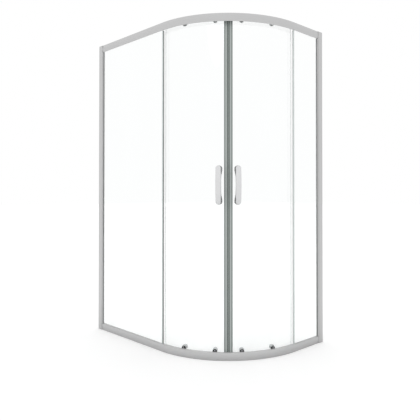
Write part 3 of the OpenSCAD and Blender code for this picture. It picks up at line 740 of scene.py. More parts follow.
def clear_glass(name, tint, rim=False):
    """Toughened glass with a faint green cast. Lamps shine through it, so its shade isn't dark."""
    f = Finish(name)
    film = f.noise(f.place(), (5.0, 5.0, 2.0), 2.0)
    glass = f.node("BsdfPrincipled", {}, {
        "Base Color": f.mix(film, shade(tint, 0.992), shade(tint, 1.004)),
        "Roughness": 0.3 if rim else 0.0,
        "IOR": 1.5,
        "Transmission Weight": 0.2 if rim else 1.0,
    })
    through = f.node("BsdfTransparent", {}, {"Color": rgba(shade(tint, 0.99))})
    path = f.node("LightPath")
    f.show(f.node("MixShader", {}, {
        0: path.outputs["Is Shadow Ray"], 1: glass.outputs[0], 2: through.outputs[0]
    }))
    return f.material


def soft_plastic(name, tint, roughness=0.34, fine=900.0, change=0.05, relief=0.00002, gloss=0.5):
    """Moulded plastic or rubber: fine grain, slow changes of tone and dull patches."""
    f = Finish(name)
    grain = f.noise(f.place(), (fine, fine, fine), 3.0, 0.55)
    clouds = f.noise(f.place(), (14.0, 14.0, 3.0), 2.0)
    tone = 0.5 + 0.6 * (grain - 0.5) + 0.8 * (clouds - 0.5)
    return f.surface({
        "Base Color": f.mix(tone, shade(tint, 1 - change), shade(tint, 1 + change)),
        "Roughness": roughness + 0.18 * (grain - 0.5) + 0.12 * (clouds - 0.5),
        "Normal": f.bump(grain, relief, 0.5),
        "Specular IOR Level": gloss,
    })


def clear_seal(name, tint, body):
    """Clear soft plastic, a little milky: streaks from the die run along it."""
    f = Finish(name)
    streaks = f.noise(f.place(), (900.0, 900.0, 4.0), 2.0)
    return f.surface({
        "Base Color": f.mix(streaks, shade(tint, 0.96), shade(tint, 1.04)),
        "Roughness": 0.24 + 0.10 * (streaks - 0.5),
        "Alpha": body + 0.02 * (streaks - 0.5),
        "Normal": f.bump(streaks, 0.00001, 0.2),
    })


def closing_strip(name, dark):
    """Profile over the magnet: dark over the magnet, light beside it, grey where it grips."""
    f = Finish(name)
    light = bpy.context.scene.shower_colours.strip_light
    mid = bpy.context.scene.shower_colours.strip_mid
    across = f.node("SeparateXYZ", {}, {0: f.run_map()}).outputs[0]
    bands = f.node(
        "ValToRGB",
        {"stops": [
            (0.0, dark), (0.31, dark), (0.35, light), (0.66, light), (0.70, mid), (1.0, mid)
        ]},
        {0: Number(f, across) * (1 / bpy.context.scene.shower_glass.closing_w)},
    ).outputs[0]
    clouds = f.noise(f.place(), (30.0, 30.0, 1.5), 2.0)
    streaks = f.noise(f.run_map(), (1800.0, 0.8, 1.0), 1.0)
    veil = f.mix(0.06 * clouds + 0.04 * streaks, bands, light)
    return f.surface({
        "Base Color": veil,
        "Roughness": 0.30 + 0.12 * (clouds - 0.5) + 0.10 * (streaks - 0.5),
        "Normal": f.bump(streaks, 0.00002, 0.2),
        "Specular IOR Level": 0.35,
    })


def brushed_steel(name, tint):
    """Steel of the small hardware, with fine turning marks."""
    f = Finish(name)
    marks = f.noise(f.place(), (700.0, 700.0, 3000.0), 2.0)
    return f.surface({
        "Base Color": f.mix(marks, shade(tint, 0.88), shade(tint, 1.1)),
        "Metallic": 0.85,
        "Roughness": 0.24 + 0.2 * (marks - 0.5),
        "Normal": f.bump(marks, 0.00002, 0.4),
    })


# Each finish has its maker, the name of its colour and what else the maker takes
FINISHES = {
    "drawn_aluminium": (aluminium, "aluminium"),
    # Jambs: the same aluminium painted lighter, against the shade on their face.
    "jamb_aluminium": (aluminium, "jamb"),
    "plain_aluminium": (aluminium, "aluminium", False),
    "glass": (clear_glass, "glass"),
    "glass_rim": (clear_glass, "glass_rim", True),
    "seal": (clear_seal, "seal", 0.035),
    "seal_edge": (soft_plastic, "seal_edge", 0.26, 300.0, 0.06),
    "seal_edge_pale": (soft_plastic, "seal_edge_pale", 0.26, 300.0, 0.06),
    "strip": (closing_strip, "strip_dark"),
    "rubber": (soft_plastic, "rubber", 0.6, 1500.0, 0.12, 0.00004),
    "handle_silver": (satin_silver, "handle"),
    "black_nylon": (soft_plastic, "nylon_black", 0.42, 1400.0, 0.2, 0.00005, 0.2),
    "white_nylon": (soft_plastic, "nylon_white", 0.35, 700.0, 0.03),
    "knob_grey": (soft_plastic, "knob", 0.3, 1200.0, 0.05, 0.00003),
    "steel": (brushed_steel, "steel"),
}


def finish_for(name):
    """The material of that name, made on first use."""
    found = bpy.data.materials.get(name)
    if found is None:
        maker, tint, *rest = FINISHES[name]
        found = maker(name, getattr(bpy.context.scene.shower_colours, tint), *rest)
    return found


NODE_FINISHES = {
    "rail_gaskets": "seal", "setting_blocks": "rubber", "door_stops": "rubber",
    "groove_covers": "plain_aluminium", "corner_blocks": "black_nylon", "jamb_screws": "steel",
    "channel_caps": "knob_grey", "magnet": "rubber", "handle_washers": "seal_edge_pale",
    "door_screws": "steel", "roller_axles": "steel",
}


# One operator for each piece or group of like pieces


class SHOWER_OT_rails(bpy.types.Operator):
    """Curved top and bottom rails, each one profile carried round the corner"""

    bl_idname = "shower.rails"
    bl_label = "Rails"

    def profile(self, height, r, inner_h, web_d, track_z):
        """Outline of a rail in depth and height above its base plane.

        The face is an arc of the radius (height^2 / 4 + bulge^2) / (2 bulge).
        """
        edge_cut, lip_cut, web_cut = 0.0007, 0.0006, 0.0005
        bow = (height**2 / 4 + r.bulge**2) / (2 * r.bulge)
        z = np.linspace(0.0, height, 15)
        face = bow - np.sqrt(bow**2 - (z - height / 2) ** 2)
        cut = np.zeros_like(z)
        cut[[0, -1]] = edge_cut
        outer = np.stack([face, z, cut], -1).tolist()
        inner = r.lip_edge - r.lip_t
        flush = track_z + r.web > inner_h - 1e-5
        step = [] if flush else [[r.body_d, inner_h, SMALL], [r.body_d, track_z + r.web, SMALL]]
        return soft_outline(outer + [
            [r.groove_n, height, SMALL], [r.groove_n, r.groove_floor, SMALL],
            [r.groove_end, r.groove_floor, SMALL], [r.groove_end, inner_h, SMALL],
            *step, [r.lip_edge, track_z + r.web, web_cut],
            [r.lip_edge, r.lip_level, lip_cut], [inner, r.lip_level, lip_cut],
            [inner, track_z, SMALL], [r.body_d, track_z, SMALL], [r.body_d, r.web, SMALL],
            [web_d, r.web, web_cut], [web_d, 0.0, web_cut],
        ])

    def execute(self, context):
        r = context.scene.shower_rails
        arc = r.corner * PI / 2
        first = -(run("long") - r.channel_w - r.joint)
        last = arc + run("short") - r.channel_w - r.joint
        s = np.concatenate([
            [first, first + r.end_cut], np.linspace(first + 0.05, -0.02, 6),
            np.linspace(0.0, arc, 97), np.linspace(arc + 0.02, last - 0.05, 4),
            [last - r.end_cut, last],
        ])
        for name, height, inner_h, web_d, track_z, base, up in (
            ("bottom", r.bottom_h, r.bottom_h, r.base_d, r.bottom_h - r.web, 0.0, 1.0),
            ("top", r.top_h, r.top_h - r.rim_step, r.cover_d,
             r.top_h - r.track_drop - r.web, HEIGHT, -1.0),
        ):
            outline = self.profile(height, r, inner_h, web_d, track_z)
            ends = np.zeros(len(s))
            ends[[0, -1]] = r.end_in
            middle = np.array([r.groove_n, height / 2])
            pull = (middle - outline) / np.maximum(
                np.linalg.norm(middle - outline, axis=1, keepdims=True), 1e-9
            )
            n = outline[None, :, 0] + ends[:, None] * pull[None, :, 0]
            z = base + up * (outline[None, :, 1] + ends[:, None] * pull[None, :, 1])
            shell = grid(round_corner(s[:, None], n, z), u=s, v=along(outline))
            piece(name + "_rail_extrusion", [shell], ["drawn_aluminium"], "frame",
                  [name + "_rail"])
        return {"FINISHED"}


class SHOWER_OT_wall_channels(bpy.types.Operator):
    """Folded channels on the walls, with the holes for the wall screws"""

    bl_idname = "shower.wall_channels"
    bl_label = "Wall channels"

    def execute(self, context):
        r = context.scene.shower_rails
        for side in SIDES:
            wall, mouth = run(side), run(side) - r.channel_w
            section = soft_outline([
                [mouth, 0.0, 0.0], [wall, 0.0, r.fold], [wall, r.channel_d, r.fold],
                [mouth, r.channel_d, 0.0],
            ], closed=False)
            reach = along(section, closed=False)
            middle = reach[-1] / 2
            heights = HEIGHT / 2 + (np.arange(4) - 1.5) * r.hole_step
            half = 2 * r.hole_r
            a = block_lines(reach, [middle], half)
            b = block_lines(np.linspace(0.0, HEIGHT, 13), heights.tolist(), half)
            flat, quads = punched(a, b, [(middle, h, r.hole_r) for h in heights], half)
            u = np.interp(flat[:, 0], reach, section[:, 0])
            n = np.interp(flat[:, 0], reach, section[:, 1])
            uv = flat[:, ::-1][quads]
            shell = straight(side, u, n, flat[:, 1]), quads, uv, []
            inside = straight(side, mouth, r.channel_d / 2, HEIGHT / 2)
            made = piece(side + "_wall_channel_sheet", [shell], ["drawn_aluminium"],
                         "frame", [side + "_wall_channel"], inside)
            walled(made, r.channel_t, r.sheet_soft)
        return {"FINISHED"}


class SHOWER_OT_jambs(bpy.types.Operator):
    """Jambs between the wall channels and the fixed panes"""

    bl_idname = "shower.jambs"
    bl_label = "Jambs"

    def execute(self, context):
        r = context.scene.shower_rails
        for side in SIDES:
            mouth = run(side) - r.channel_w
            u0, u1 = mouth - r.jamb_show, mouth + r.jamb_in
            n0 = r.channel_t + GAP
            n1 = r.channel_d - n0
            nose_cut, back_cut, edge_cut = 0.0012, 0.0008, 0.0004
            outline = [
                [u0, n0, nose_cut], [u1, n0, back_cut], [u1, n1, back_cut],
                [u0 + r.nose_back, n1, nose_cut], [u0 + r.nose_back, r.groove_end, edge_cut],
                [u0 + r.pocket, r.groove_end, SMALL],
                [u0 + r.pocket, r.groove_n, SMALL], [u0, r.groove_n, edge_cut],
            ]
            stub = [[u, n, back_cut] for u, n in (
                (mouth + GAP, n0), (u1, n0), (u1, n1), (mouth + GAP, n1)
            )]
            low, high = r.bottom_h + GAP, HEIGHT - r.top_h - GAP
            place = partial(straight, side)
            # The jambs take the aluminium painted lighter, against the shade on their face.
            piece(side + "_jamb_extrusion", [
                upright(place, outline, low, high),
                upright(place, stub, 0.0005, low - FIT),
                upright(place, stub, high + FIT, HEIGHT - r.jamb_top),
            ], ["jamb_aluminium"], "frame", [side + "_jamb"])
        return {"FINISHED"}


class SHOWER_OT_fixed_panes(bpy.types.Operator):
    """Flat fixed panes with ground edges"""

    bl_idname = "shower.fixed_panes"
    bl_label = "Fixed panes"

    def execute(self, context):
        r, g, _ = sizes()
        for side in SIDES:
            low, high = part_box(side + "_fixed_glass")
            end = run(side) - r.channel_w - r.jamb_show + r.bite
            flat, quads = punched(
                np.linspace(g.fixed_u, end, 5), np.linspace(low.z, high.z, 7), [], 0.0
            )
            shell = straight(side, flat[:, 0], g.fixed_n, flat[:, 1]), quads, flat[quads], []
            inside = straight(side, end / 2, 0.3, HEIGHT / 2)
            made = piece(side + "_fixed_pane", [shell], ["glass", "glass_rim"], "frame",
                         [side + "_fixed_glass"], inside)
            walled(made, g.glass_t, g.edge_soft, 1)
        return {"FINISHED"}


class SHOWER_OT_door_panes(bpy.types.Operator):
    """Curved panes of the doors, with the holes for rollers and handles"""

    bl_idname = "shower.door_panes"
    bl_label = "Door panes"

    def execute(self, context):
        r, g, t = sizes()
        cx, cy = arc_centre()
        radius = r.corner - g.door_n
        half = 0.0112  # of the square block of cells round a hole
        for side in SIDES:
            low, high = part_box(side + "_door_glass")
            start, end = -g.rear_u, radius * PI / 4 - g.glass_back
            handle = radius * t.handle_phi
            rollers = [radius * t.front_phi, radius * t.rear_phi]
            fixings = [HEIGHT - t.axle_h - t.hanger_drop, t.axle_h + t.clamp_rise]
            holes = [(a, z, g.roller_hole) for a in rollers for z in fixings]
            holes += [
                (handle, t.handle_z + k * t.handle_screws, g.handle_hole) for k in (-0.5, 0.5)
            ]
            a = block_lines(np.linspace(start, end, 55), [*rollers, handle], half)
            b = block_lines(np.linspace(low.z, high.z, 9), [h[1] for h in holes], half)
            flat, quads = punched(a, b, holes, half)
            points = stand(side, flat[:, 0] / radius, g.door_n, 0.0, flat[:, 1])
            shell = points, quads, flat[quads], []
            made = piece(side + "_door_pane", [shell], ["glass", "glass_rim"], side + "_door",
                         [side + "_door_glass"], (cx, cy, HEIGHT / 2))
            walled(made, g.glass_t, g.edge_soft, 1)
        return {"FINISHED"}


class SHOWER_OT_seals(bpy.types.Operator):
    """Gaskets in the jambs, seals on the panes' free edges and on the doors' rear edges"""

    bl_idname = "shower.seals"
    bl_label = "Seals"

    def gaskets(self, side, r, g):
        """Outer gasket of a jamb with a flange over its nose and a lip, and the inner gasket."""
        nose = run(side) - r.channel_w - r.jamb_show
        lip, foot = nose - r.lip_show, nose + r.bite
        face, thin, thick = r.channel_t + GAP - FIT, 0.0008, 0.0015
        outer, inner = g.fixed_n - FIT, g.fixed_n + g.glass_t + FIT
        low, high = r.bottom_h + 0.0006, HEIGHT - r.top_h - 0.0006
        place = partial(straight, side)
        over, back = nose + r.lip_over, nose + r.nose_back
        return [
            upright(place, [
                [foot, outer, 0.0], [foot, r.groove_n + FIT, SMALL],
                [nose - FIT, r.groove_n + FIT, 0.0], [nose - FIT, face, 0.0], [over, face, 0.0],
                [over, face - r.flange_t, 0.0004], [nose, face - r.flange_t, 0.0006],
                [lip, outer - thin, 0.0004], [lip, outer, 0.0002],
            ], low, high),
            upright(place, [
                [foot, inner, 0.0], [foot, r.groove_end - FIT, SMALL],
                [back - FIT, r.groove_end - FIT, 0.0],
                [back - FIT, r.groove_end + thick, 0.0004],
                [nose, r.groove_end + thin, 0.001], [lip, inner + thin / 2, SMALL],
                [lip, inner, 0.0002],
            ], low, high),
        ]

    def pane_seal(self, side, r, g):
        """Grey inner edge, two clear arms and a clear fin: the seal on a fixed pane's free edge."""
        end, edge, grip = -g.seal_end, g.fixed_u - 0.00005, g.fixed_u + g.seal_grip
        grey, root = r.groove_end - g.grey_back, r.groove_end + g.fin_root
        bend, tip = 0.02, g.door_n - g.fin_short
        outer, inner = g.fixed_n - FIT, g.fixed_n + g.glass_t + FIT
        low, high = r.bottom_h + 0.001, HEIGHT - r.top_h - 0.001
        place = partial(straight, side)
        return [
            upright(place, [
                [end, grey, 0.0002], [edge, grey, 0.0], [edge, r.groove_end, 0.0002],
                [end + g.fin_t, r.groove_end, SMALL], [end + g.fin_t, root, 0.0002],
                [end, root, 0.0002],
            ], low, high),
            upright(place, [
                [end, r.groove_n, 0.0006], [grip, r.groove_n, 0.0004], [grip, outer, 0.0002],
                [edge, outer, 0.0], [edge, grey - FIT, 0.0], [end, grey - FIT, 0.0002],
            ], low, high),
            upright(place, [
                [edge + FIT, inner, 0.0001], [grip, inner, 0.0002], [grip, r.groove_end, 0.0004],
                [edge + FIT, r.groove_end, 0.0002],
            ], low, high),
            upright(place, [
                [end, root + FIT, 0.0], [end + g.fin_t, root + FIT, 0.0],
                [end + g.fin_t, bend, 0.002], [end + 0.9 * g.fin_t, tip, 0.0005],
                [end + 0.1 * g.fin_t, tip, 0.0005],
            ], g.fin_clear, HEIGHT - g.fin_clear),
        ]

    def door_seal(self, side, r, g):
        """Clip round a door's rear edge and its fin towards the fixed pane, both clear."""
        radius = r.corner - g.door_n
        end, grip = -(g.rear_u + g.seal_t), g.clip_l - g.rear_u
        n0, n1 = g.door_n - g.seal_t, g.door_n + g.glass_t + g.seal_t
        edge, outer, inner = -g.rear_u - FIT, g.door_n - FIT, g.door_n + g.glass_t + FIT
        clip = [
            [end, n0, 0.0006], [grip, n0, 0.0004], [grip, outer, 0.0002], [edge, outer, 0.0],
            [edge, inner, 0.0], [grip, inner, 0.0002], [grip, n1, 0.0004], [end, n1, 0.0006],
        ]
        fin, tip = g.fin_t + g.fin_gap - g.seal_end, r.groove_end + 0.002
        low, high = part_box(side + "_rear_seal")
        return [
            upright(lambda a, n, z: stand(side, a / radius, n, 0.0, z), clip, low.z, high.z),
            upright(partial(straight, side), [
                [fin, n0 - FIT, 0.0], [fin + g.fin_t, n0 - FIT, 0.0],
                [fin + 0.9 * g.fin_t, tip, 0.0005], [fin + 0.1 * g.fin_t, tip, 0.0005],
            ], r.bottom_h + 0.004, HEIGHT - r.top_h - 0.004),
        ]

    def execute(self, context):
        r, g, _ = sizes()
        lips, seals = [], []
        for side in SIDES:
            lips += self.gaskets(side, r, g)
            seals += self.pane_seal(side, r, g)
            piece(side + "_rear_fin_seal", self.door_seal(side, r, g), ["seal"], side + "_door",
                  [side + "_rear_seal"])
        piece("jamb_gasket_lips", lips, ["rubber", "seal"], "frame", ["jamb_gaskets"],
              slots=[0, 1] * 2)
        # The short pane's grey edge takes the copy painted lighter, standing in for the light on
        # that side.
        piece("pane_edge_seals", seals, ["seal_edge", "seal_edge_pale", "seal"], "frame",
              ["edge_seals"], slots=[0, 2, 2, 2, 1, 2, 2, 2])
        return {"FINISHED"}


class SHOWER_OT_closing_profiles(bpy.types.Operator):
    """Profiles on the doors' front edges, with their magnet pockets"""

    bl_idname = "shower.closing_profiles"
    bl_label = "Closing profiles"

    def execute(self, context):
        r, g, _ = sizes()
        radius = r.corner - g.door_n
        n0, n1 = g.door_n - g.seal_t, g.door_n + g.glass_t + g.seal_t
        m0, back = g.meeting_gap / 2, g.glass_back - g.seal_t
        outline = soft_outline([
            [m0, n0 - g.pocket_d, SMALL], [m0, n1 + g.pocket_d, SMALL],
            [g.pocket_w, n1 + g.pocket_d, 0.0008], [g.pocket_w, n1, 0.0005],
            [g.closing_w, n1, 0.0004], [g.closing_w, g.door_n + g.glass_t, SMALL],
            [back, g.door_n + g.glass_t, 0.0002], [back, g.door_n, 0.0002],
            [g.closing_w, g.door_n, SMALL], [g.closing_w, n0, 0.0004],
            [g.pocket_w, n0, 0.0005], [g.pocket_w, n0 - g.pocket_d, 0.0008],
        ])
        m, n = outline.T
        for side in SIDES:
            low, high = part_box(side + "_closing_profile")
            z = np.linspace(low.z, high.z, 9)
            points = stand(side, PI / 4 - m / radius, n, 0.0, z[:, None])
            flat, quads, uv, ends = grid(points, u=z, v=along(outline))
            uv = np.stack([m[quads % len(m)], uv[..., 0]], -1)
            piece(side + "_closing_strip", [(flat, quads, uv, ends)], ["strip"],
                  side + "_door", [side + "_closing_profile"])
        return {"FINISHED"}


class SHOWER_OT_handles(bpy.types.Operator):
    """Bow handles"""

    bl_idname = "shower.handles"
    bl_label = "Handles"

    def bow(self, side):
        """Bow handle as a grid round its front view and across its thickness.

        The front view is a middle line with a round end at each end. A point is d from that line,
        from nought to half the width. Its height gives the outer arc and the inner arch, and near
        the edge both are drawn in by r (1 - cos b) while d is half the width - r (1 - sin b). The
        front also falls with the square of d, and the arch runs out into the feet along a
        hyperbola. A painted shade on the side faces grows with b, and sooner towards both ends.
        """
        _, g, t = sizes()
        crown, back_in, blend = 0.0008, 0.0016, 0.0012
        foot_from, foot_over = 0.048, 0.03
        painted_shade_from, painted_shade_sooner, painted_shade_over = 72.0, 55.0, 20.0
        half, line, soft = t.handle_w / 2, (t.handle_l - t.handle_w) / 2, t.handle_soft
        rise = t.handle_reach - t.handle_end
        outer_r = ((t.handle_l / 2) ** 2 + rise**2) / (2 * rise)
        gap_half = t.handle_l / 2 - t.handle_w + 0.004
        inner_r = (gap_half**2 + t.finger_gap**2) / (2 * t.finger_gap)
        level, turn = np.linspace(-line, line, 45), np.linspace(0.0, PI, 25)[1:-1]
        middle = np.concatenate([level, line + 0 * turn, level[::-1], -line + 0 * turn])[:, None]
        aim = np.concatenate([0 * level, turn, PI + 0 * level, PI + turn])[:, None]
        b = np.linspace(0.0, PI / 2, 6)
        d = (half - soft) * np.array([0.0, 0.35, 0.7, 0.9])
        b, d = np.append(0 * d, b), np.append(d, half - soft * (1 - np.sin(b)))
        front = np.arange(2 * len(d)) < len(d)
        b, d = np.append(b, b[::-1]), np.append(d, d[::-1])
        drawn_in = soft * (1 - np.cos(b))
        up = middle + d * np.sin(aim)
        ends = np.clip((np.abs(up) - foot_from) / foot_over, 0.0, 1.0)
        across = d * np.cos(aim) * (1 + np.where(front, 0.0, t.foot_flare / half * ends))
        outer = t.handle_reach - outer_r + np.sqrt(outer_r**2 - up**2)
        outer = outer - drawn_in - crown * (d / half) ** 2
        arch = t.finger_gap - inner_r + np.sqrt(np.maximum(inner_r**2 - up**2, 0.0))
        inner = (arch + np.sqrt(arch**2 + 4 * blend**2)) / 2
        inner = np.where(np.abs(up) < gap_half + 0.01, inner, 0.0)
        inner = np.maximum(inner - blend * np.clip(np.abs(up) / gap_half, 0, 1) ** 4, 0.0)
        inner = inner + np.minimum(drawn_in, back_in)
        depth = g.door_n - t.washer_t - np.where(front, outer, inner)
        points = stand(side, t.handle_phi, depth, across, t.handle_z + up)
        # Painted shade: how far each point takes the dark side colour, growing round the edge and
        # sooner at both ends.
        sooner = painted_shade_sooner * ends * np.clip(across / half + 0.4, 0.0, 1.0)
        dark = np.clip((np.degrees(b) - painted_shade_from + sooner) / painted_shade_over, 0.0, 1.0)
        return grid(points, wrap_u=True, wrap_v=False), dark.ravel()

    def execute(self, context):
        for side in SIDES:
            shell, dark = self.bow(side)
            mesh = piece(side + "_bow_handle", [shell], ["handle_silver"], side + "_door",
                         [side + "_handle"], smooth=50.0).data
            kept = np.zeros(len(mesh.vertices) * 3)
            mesh.vertices.foreach_get("co", kept)
            near = np.linalg.norm(kept.reshape(-1, 1, 3) - shell[0], axis=2).argmin(1)
            # The attribute side carries that painted shade to the handle's finish.
            mesh.attributes.new("side", "FLOAT", "POINT").data.foreach_set(
                "value", dark[near].astype(np.float32)
            )
        return {"FINISHED"}


class SHOWER_OT_rollers(bpy.types.Operator):
    """Roller bodies outside, and knobs and release housings inside"""

    bl_idname = "shower.rollers"
    bl_label = "Rollers"

    def execute(self, context):
        _, g, t = sizes()
        seat = g.door_n + g.glass_t + GAP
        face = seat + t.knob_t
        rim, dish, depth = 0.75 * t.knob_r, 0.68 * t.knob_r, 0.0007
        knob = [
            [0.0, seat, 0.0], [t.knob_r, seat, 0.0004], [t.knob_r, face, 0.0016],
            [rim, face, 0.0006], [dish, face - depth, 0.0006], [0.0, face - 0.0004, 0.0],
        ]
        fixing = HEIGHT - t.axle_h - t.hanger_drop
        for side in SIDES:
            body = side + "_door"
            piece(side + "_turning_knobs", [
                turned(side, phi, fixing, knob, 64, 16, 0.0005) for phi in (t.front_phi, t.rear_phi)
            ], ["knob_grey"], body, [side + "_top_knobs"])
            for made, node, finish in (
                ("_roller_bodies", "_roller_bushes", "white_nylon"),
                ("_clamp_bodies", "_roller_clamps", "black_nylon"),
                ("_release_cups", "_release_housings", "knob_grey"),
            ):
                softened(side + made, side + node, finish, body, t.body_soft)
        return {"FINISHED"}


class SHOWER_OT_wheels(bpy.types.Operator):
    """Grooved wheels, turned from one outline"""

    bl_idname = "shower.wheels"
    bl_label = "Wheels"

    def execute(self, context):
        t = context.scene.shower_fittings
        bore, recess = t.axle_r + 0.00006, t.axle_r + 0.0022
        low, high = t.wheel_n - t.wheel_w / 2, t.wheel_n + t.wheel_w / 2
        groove_low, groove_high = t.wheel_n - t.tread_w / 2, t.wheel_n + t.tread_w / 2
        floor = high - 0.0016
        outline = [
            [bore, low, SMALL], [recess, low, 0.0002], [t.wheel_r, low, 0.0004],
            [t.wheel_r, groove_low, SMALL], [t.tread_r, groove_low, SMALL],
            [t.tread_r, groove_high, SMALL], [t.wheel_r, groove_high, SMALL],
            [t.wheel_r, high, 0.0004], [recess, high, SMALL], [recess, floor, SMALL],
            [bore, floor, SMALL],
        ]
        for side in SIDES:
            for place, phi in zip(PLACES, (t.front_phi, t.rear_phi)):
                for level, z in (("top", HEIGHT - t.axle_h), ("low", t.axle_h)):
                    node = f"{side}_{place}_{level}_wheel"
                    piece(node + "_turned", [turned(side, phi, z, outline, 64)],
                          ["white_nylon"], node, [node])
        return {"FINISHED"}


class SHOWER_OT_releases(bpy.types.Operator):
    """Push releases of the bottom wheels, and their coil springs"""

    bl_idname = "shower.releases"
    bl_label = "Releases"

    def arm(self, side, phi):
        """Arm, pin, stem and ribbed thumb pad of one release."""
        _, g, t = sizes()
        head_r, head_t, sink = t.axle_r + 0.0016, 0.0012, 0.001
        arm_half, pad_half = 0.006, t.pad_w / 2
        rib_half, rib_step, rib_out = 0.00045, 0.0021, 0.0016
        clear, wall = 0.0002, 0.0005
        head = t.wheel_n - t.wheel_w / 2 + clear
        body_n = t.wheel_n + t.wheel_w / 2 + 3 * clear
        far = t.stem_n + t.stem_r + wall
        top = t.axle_h + t.clamp_rise + t.pad_rise
        pad_face = g.door_n + g.glass_t + GAP + t.release_t + 0.002
        pin = [
            [0.0, head, 0.0], [head_r, head, 0.0005], [head_r, head + head_t, 0.0001],
            [t.axle_r, head + head_t, 0.0001], [t.axle_r, body_n + sink, 0.0001],
            [0.0, body_n + sink, 0.0],
        ]
        a = np.linspace(0.0, 2 * PI, 32, endpoint=False)
        z = np.array([t.axle_h + 0.005, top - t.pad_h + sink])[:, None]
        stem = stand(side, phi, t.stem_n + t.stem_r * np.cos(a), t.stem_r * np.sin(a), z)
        blocks = [
            ((body_n + clear, -arm_half, t.axle_h - arm_half),
             (far, arm_half, t.axle_h + arm_half), 0.0012),
            ((t.stem_n - t.stem_r, -pad_half, top - t.pad_h), (pad_face - wall, pad_half, top),
             0.0011),
        ]
        for rib in top - t.pad_h / 2 + rib_step * np.array([-1.0, 0.0, 1.0]):
            blocks.append(((pad_face - rib_out, 0.001 - pad_half, rib - rib_half),
                           (pad_face, pad_half - 0.001, rib + rib_half), 0.0004))
        arm, *pad = (soft_block(side, phi, *block) for block in blocks)
        return [turned(side, phi, t.axle_h, pin, 40), arm, grid(stem), *pad]

    def coil(self, side, phi, t):
        """Coil spring: a round wire along a helix.

        At turn a the wire's middle is at the mean radius in direction a, and rises evenly with a.
        The ring round it lies in the plane of the radius and the rising line's normal.
        """
        top = t.axle_h + t.clamp_rise + t.pad_rise - t.pad_h
        low = top - t.press - t.turns * t.wire
        mean = t.stem_r + GAP + t.wire / 2
        a = np.linspace(0.0, 2 * PI * t.turns, 30 * t.turns + 1)[:, None]
        b = np.linspace(0.0, 2 * PI, 10, endpoint=False)[None, :]
        rise = (top - low - t.wire) / (2 * PI * t.turns)
        tilt = math.atan2(rise, mean)
        out = mean + t.wire / 2 * np.cos(b)
        slide = -t.wire / 2 * np.sin(b) * math.sin(tilt)
        z = low + t.wire / 2 + rise * a + t.wire / 2 * np.sin(b) * math.cos(tilt)
        n = t.stem_n + out * np.cos(a) - slide * np.sin(a)
        sideways = out * np.sin(a) + slide * np.cos(a)
        return grid(stand(side, phi, n, sideways, z)), low

    def execute(self, context):
        t = context.scene.shower_fittings
        for side in SIDES:
            for place, phi in zip(PLACES, (t.front_phi, t.rear_phi)):
                which = f"{side}_{place}"
                piece(which + "_release_arm", self.arm(side, phi), ["black_nylon"],
                      which + "_release", [which + "_release"])
                shell, low = self.coil(side, phi, t)
                spring = piece(which + "_spring_coil", [shell], ["steel"], side + "_door",
                               [which + "_spring"])
                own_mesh(spring)
        return {"FINISHED"}


class SHOWER_OT_caps(bpy.types.Operator):
    """Caps over the handle screws and over the jamb screws"""

    bl_idname = "shower.caps"
    bl_label = "Caps"

    def execute(self, context):
        r, g, t = sizes()
        seat = g.door_n + g.glass_t + GAP
        face = seat + t.cap_t
        head_r, head_t = 0.0046, 0.003
        cap = [
            [0.0, seat + head_t, 0.0], [head_r, seat + head_t, 0.0], [head_r, seat, 0.0],
            [t.cap_r, seat, SMALL], [t.cap_r, face, 0.0022], [0.0, face, 0.0],
        ]
        base, top = r.channel_d + 0.0001, r.channel_d + r.snap_t
        head_r, head = 0.0045, r.channel_d + 0.0022
        snap = [
            [0.0, head, 0.0], [head_r, head, 0.0], [head_r, base, 0.0],
            [r.snap_r, base, SMALL], [r.snap_r, top, 0.0014], [0.0, top, 0.0],
        ]
        levels = [r.bottom_h / 2, HEIGHT / 2 - r.snap_step, HEIGHT / 2,
                  HEIGHT / 2 + r.snap_step, HEIGHT - r.top_h / 2]
        snaps = []
        for side in SIDES:
            piece(side + "_handle_screw_caps", [
                turned(side, t.handle_phi, t.handle_z + k * t.handle_screws, cap)
                for k in (-0.5, 0.5)
            ], ["knob_grey"], side + "_door", [side + "_handle_caps"])
            snaps += [turned(side, 0.0, z, snap, 32, t=r.snap_u - run(side)) for z in levels]
        piece("jamb_snap_caps", snaps, ["knob_grey"], "frame", ["jamb_screw_caps"])
        return {"FINISHED"}


class SHOWER_OT_node_finishes(bpy.types.Operator):
    """Finishes of the CAD pieces that show as they are"""

    bl_idname = "shower.node_finishes"
    bl_label = "Finishes"

    def execute(self, context):
        for name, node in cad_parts.items():
            plain = name.removeprefix("long_").removeprefix("short_")
            if node.hide_render:
                continue
            node.data.materials.clear()
            node.data.materials.append(finish_for(NODE_FINISHES[plain]))
        return {"FINISHED"}


